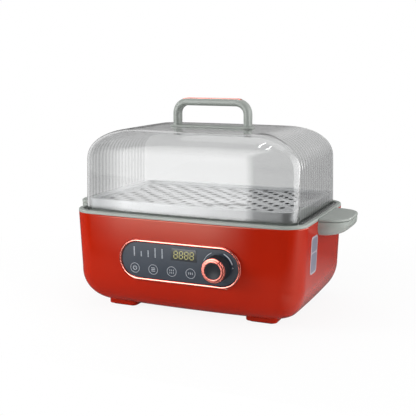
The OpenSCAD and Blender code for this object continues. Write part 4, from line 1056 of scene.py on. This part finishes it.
def makeBarrel():
    # the barrel widens smoothly towards the panel, and a cosine round it presses the ribs in
    barrel, back, step = knob["barrelR"], knob["back"], knob["step"]
    side = np.linspace(back + knob["edge"], step - knob["band"], knob["sideSteps"])
    flare = (knob["skirtR"] - barrel) * (1 - smoothStep(side, back, step * knob["flareShare"]))
    behind = [(barrel - knob["backIn"], back), (knob["skirtR"] - knob["edge"], back)]
    before = [(barrel, step), (knob["bore"], step)]
    r, w, angle = turned([*behind, *zip(barrel + flare, side), *before], knob["ribs"] * knob["ribSteps"])
    ribbed = column([0] * len(behind) + [1] * len(side) + [0] * len(before))
    return capped(onKnob(r - ribbed * knob["ribDeep"] * wave(angle * knob["ribs"]), w, angle))


def makeKnobRing():
    # an outer shoulder, then a raised collar round the cap, and a notch pressed into the shoulder
    collar, bore, out, step = knob["collarR"], knob["bore"], knob["out"], knob["step"]
    shoulder = out - knob["collarUp"]
    corners = [
        (knob["ringR"], step, 0.2), (knob["ringR"], shoulder, 1.0),
        (collar + knob["collarLean"], shoulder - knob["shoulderDip"], 0.2),
        (collar, out, 0.5), (bore, out, 0.5), (bore, step, 0.2),
    ]
    r, w, angle = turned(softSection(corners), knob["ringSteps"])
    aside = np.abs(angle - knob["notchAt"]) * r
    notch = smoothStep(aside, *knob["notchHalf"]) * smoothStep(w, shoulder - knob["notchFoot"], shoulder)
    return looped(onKnob(r, w - notch * knob["notchDeep"], angle))


def makeKnobCap():
    # a rounded edge, then a dish whose depth follows the square of the radius
    edge, out = knob["bore"] - knob["capGap"], knob["out"]
    rounded = [(edge - inset, out - drop) for inset, drop in knob["capEdge"]]
    dish = np.linspace(1, knob["dishHole"], knob["dishSteps"])
    dished = zip((edge - knob["dishIn"]) * dish, out - knob["dishTop"] - knob["dishDeep"] * (1 - dish**2))
    profile = [(edge, knob["step"] + knob["capFoot"]), *rounded, *dished]
    return capped(onKnob(*turned(profile, knob["capSteps"])))


addPiece("knobBarrel", makeBarrel(), "knob", ["knob_barrel"])
addPiece("knobRing", makeKnobRing(), "knob", ["knob_ring"], sharp=knob["sharp"])
addPiece("knobCap", makeKnobCap(), "knob", ["knob_cap"])
print("knob made")


# Plate on the right end, with two coloured fields
plate = dict(
    y=(-64.0, -37.0), z=(-67.0, -17.0), corner=5.5, lift=(-0.3, 0.35),
    fieldY=(-61.8, -39.6), fieldZ={"Lower": (-64.4, -39.6), "Upper": (-37.4, -19.4)}, fieldCorner=3.0,
    fieldLift=(0.25, 0.45), edge=((0, 0), (0, 0.8), (0.25, 1), (0.6, 1)), closeSteps=4, ring=(6, 6, 12),
)


def makePlate(across, height, corner, lift):
    # a rounded plate that follows the end wall: its length at each height, drawn in by the end's bow
    inset, share = np.array(plate["edge"], float).T
    halfY, halfZ = ((high - low) / 2 - inset for low, high in (across, height))
    y, z = outline(ringShape(*plate["ring"]), halfY, halfZ, corner - inset, bow=0)
    shrink = np.linspace(1, 0, plate["closeSteps"] + 2)[1:-1, None]
    y = np.concatenate([y, y[-1] * shrink]) + sum(across) / 2
    z = np.concatenate([z, z[-1] * shrink]) + sum(height) / 2 + rimZ
    up = lift[0] + (lift[1] - lift[0]) * np.concatenate([share, np.ones(len(shrink))])
    half = body["halfX"] - (rimZ - z) * math.tan(body["lean"])
    x = half - body["endBow"] * (y / (body["halfY"] - (body["halfX"] - half))) ** 2
    return capped(stack(x + column(up), y + planY, z))


plateShape = makePlate(plate["y"], plate["z"], plate["corner"], plate["lift"])
addPiece("endPlate", plateShape, "base", finish=paint["plate"])
for name, height in plate["fieldZ"].items():
    field = makePlate(plate["fieldY"], height, plate["fieldCorner"], plate["fieldLift"])
    addPiece("endField" + name, field, "base", finish=paint["field"])
print("plate made")


# Stage, in metres: pale floor, soft boxes, cloths that only show mirrored, camera as the photograph
studio = dict(
    floorX=(-2.2, 2.2), floorY=(-0.30, 2.6), floorTone=0.90, floorRough=0.7, cast=0.10, castSpan=(0.18, 0.55),
    mirrored=0.10, sheen=0.85, sheenX=(0.14, 0.19), sheenY=(0.32, -0.12), sheenFront=(-0.27, -0.13),
    fill=0.44, gloss=(0.02, 0.50), glossY=(-0.25, 0.35), horizon=(-0.02, 0.20),
    insideX=(-0.45, -0.15), insideY=(-0.30, 0.10), insideFront=(1.5, 0.16),
    cloths=(  # middle, turn, size, radiance, then the share and the power of the fading at each side
        (
            "leftCloth", (-0.471, -1.00, 0.635), (90, 0, 0), (0.658, 1.33), 7.6,
            ((0.18, 1.2), (0.05, 1), (0.004, 1), (0.865, 0.8)),
        ),
        (
            "lowCloth", (-0.515, -1.001, -0.1825), (90, 0, 0), (0.690, 0.315), 10.0,
            ((0.25, 1.5), (0.20, 1), (0.98, 3), (0.016, 1)),
        ),
        (
            "sideCloth", (0.95, 0.835, 0.55), (90, 0, 90), (2.13, 1.50), 4.0,
            ((0.03, 1), (0.10, 1), (0.02, 1), (0.68, 1)),
        ),
        (
            "glintNear", (-0.195, -0.40, 1.30), (0, 0, -4.7), (0.012, 0.62), 22.0,
            ((0.30, 1), (0.30, 1), (0.10, 1), (0.10, 1)),
        ),
        (
            "glintFar", (-0.165, -0.61, 1.30), (0, 0, -8.5), (0.016, 1.00), 22.0,
            ((0.30, 1), (0.30, 1), (0.10, 1), (0.10, 1)),
        ),
    ),
    boxes=(  # soft boxes: middle, turn, size, power, mirrored
        ("leftBox", (-0.75, -0.55, 0.40), (70.5, 0, -55.4), (0.3, 0.5), 6.0, False),
        ("sideBox", (0.95, -0.15, 0.30), (85, 0, 90), (0.9, 0.8), 5.5, False),
        ("topBox", (0.0, 0.15, 1.60), (0, 0, 0), (1.3, 1.1), 6.5, True),
    ),
    camera=(0.44109, -1.04702, 0.20690), tilt=79.6275, pan=23.1464, lens=70.875, sensor=36,
)


def addSheet(name, x, y):  # a flat oblong of the stage and its material's nodes
    mesh = bpy.data.meshes.new(name)
    corners = [(x[0], y[0], 0), (x[1], y[0], 0), (x[1], y[1], 0), (x[0], y[1], 0)]
    mesh.from_pydata(corners, [], [(0, 1, 2, 3)])
    material = bpy.data.materials.new(name)
    material.use_nodes = True
    mesh.materials.append(material)
    sheet = bpy.data.objects.new(name, mesh)
    bpy.context.scene.collection.objects.link(sheet)
    return sheet, material.node_tree


def mirrorStrength(tree, path):  # 1, but less for rays off a gloss
    mirrored = mathNode(  # a ray through glass may count as glossy too
        tree, "SUBTRACT", path["Is Glossy Ray"], path["Is Transmission Ray"], use_clamp=True
    )
    split = splitNode(tree, "Object")
    shade = 1.0  # the mirrored floor is brightest to the right of the object, towards the front
    for axis, span in (("X", "sheenX"), ("Y", "sheenY"), ("Y", "sheenFront")):
        shade = mathNode(tree, "MULTIPLY", shade, rangeNode(tree, split[axis], studio[span]))
    level = rangeNode(tree, shade, toSpan=(studio["mirrored"], studio["sheen"]))
    return rangeNode(tree, mirrored, toSpan=(1.0, level))


def makeFloor():
    # white for rays from the camera, off a gloss or through glass, less the share that takes the shadow
    tree = addSheet("floor", studio["floorX"], studio["floorY"])[1]
    shader = tree.nodes["Principled BSDF"]
    tone = studio["floorTone"]
    feed(tree, shader, {"Base Color": (tone, tone, tone, 1), "Roughness": studio["floorRough"]})
    path = addNode(tree, "LightPath").outputs
    white = addNode(tree, "Emission", {"Strength": mirrorStrength(tree, path)}).outputs["Emission"]
    seen = path["Is Camera Ray"]
    for kind in ("Is Glossy Ray", "Is Transmission Ray"):
        seen = mathNode(tree, "MAXIMUM", seen, path[kind])
    place = addNode(tree, "TexCoord").outputs["Object"]
    distance = addNode(tree, "VectorMath", {0: place}, operation="LENGTH").outputs["Value"]
    around = rangeNode(tree, distance, studio["castSpan"], (1 - studio["cast"], 1.0))  # darkest by the object
    surface = mixNode(tree, mathNode(tree, "MULTIPLY", seen, around), shader.outputs["BSDF"], white)
    feed(tree, tree.nodes["Material Output"], {"Surface": surface})


def makeWorld():
    world = bpy.data.worlds.new("studio")
    world.use_nodes = True
    tree = world.node_tree
    tree.nodes.clear()
    path = addNode(tree, "LightPath").outputs
    way = splitNode(tree, "Generated")

    def light(strength):
        given = {"Color": (1, 1, 1, 1), "Strength": strength}
        return addNode(tree, "Background", given).outputs["Background"]

    # off a gloss: a dark room in front and a pale backdrop behind, dimmer near the horizon
    behind = rangeNode(tree, way["Y"], studio["glossY"], studio["gloss"])
    above = rangeNode(tree, way["Z"], studio["horizon"], (studio["mirrored"] / studio["gloss"][1], 1.0))
    gloss = light(mathNode(tree, "MULTIPLY", behind, above))
    # inside glass: white behind, and in front brighter on the left than on the right
    front = rangeNode(tree, way["X"], studio["insideX"], studio["insideFront"])
    inside = rangeNode(tree, way["Y"], studio["insideY"], (front, 1.0))
    white = light(rangeNode(tree, path["Glossy Depth"], toSpan=(1.0, inside)))  # straight through: all white
    lit = mixNode(tree, path["Is Glossy Ray"], light(studio["fill"]), gloss)
    straight = mathNode(tree, "MAXIMUM", path["Is Camera Ray"], path["Is Transmission Ray"])
    addNode(tree, "OutputWorld", {"Surface": mixNode(tree, straight, lit, white)})
    bpy.context.scene.world = world


def addCloth(name, at, turn, size, radiance, fade):
    # a glowing cloth that only shows mirrored: its light dies out smoothly over the given share of each side
    wide, high = size
    cloth, tree = addSheet(name, (-wide / 2, wide / 2), (-high / 2, high / 2))
    cloth.location = at
    cloth.rotation_euler = np.radians(turn)
    tree.nodes.clear()
    split = splitNode(tree, "Object")
    level = radiance
    sides = (("X", -wide / 2, wide), ("X", wide / 2, -wide), ("Y", -high / 2, high), ("Y", high / 2, -high))
    for (axis, edge, span), (share, power) in zip(sides, fade):
        ramp = rangeNode(tree, split[axis], (edge, edge + span * share))
        level = mathNode(tree, "MULTIPLY", level, mathNode(tree, "POWER", ramp, power))
    glow = addNode(tree, "Emission", {"Strength": level}).outputs["Emission"]
    addNode(tree, "OutputMaterial", {"Surface": glow})
    for rays in ("camera", "transmission", "shadow", "diffuse"):
        setattr(cloth, "visible_" + rays, False)


def addBox(name, at, turn, size, power, mirrored):  # a soft box that the camera doesn't see
    lamp = bpy.data.lights.new(name, "AREA")
    lamp.shape = "RECTANGLE"
    lamp.size, lamp.size_y = size
    lamp.energy = power
    box = bpy.data.objects.new(name, lamp)
    box.location = at
    box.rotation_euler = np.radians(turn)
    box.visible_camera = False
    box.visible_transmission = False
    box.visible_glossy = mirrored
    bpy.context.scene.collection.objects.link(box)


def addCamera():  # placed from the middle of the plan at the height of the rim
    camera = bpy.data.cameras.new("camera")
    camera.lens = studio["lens"]
    camera.sensor_width = studio["sensor"]
    seat = bpy.data.objects.new("camera", camera)
    x, y, z = studio["camera"]
    seat.location = (x, y + planY * mm, z + rimZ * mm)
    seat.rotation_euler = (math.radians(studio["tilt"]), 0, math.radians(studio["pan"]))
    bpy.context.scene.collection.objects.link(seat)
    bpy.context.scene.camera = seat


makeFloor()
makeWorld()
for cloth in studio["cloths"]:
    addCloth(*cloth)
for box in studio["boxes"]:
    addBox(*box)
addCamera()
bpy.context.scene.view_settings.view_transform = "Standard"
print("stage set")

bpy.context.view_layer.update()
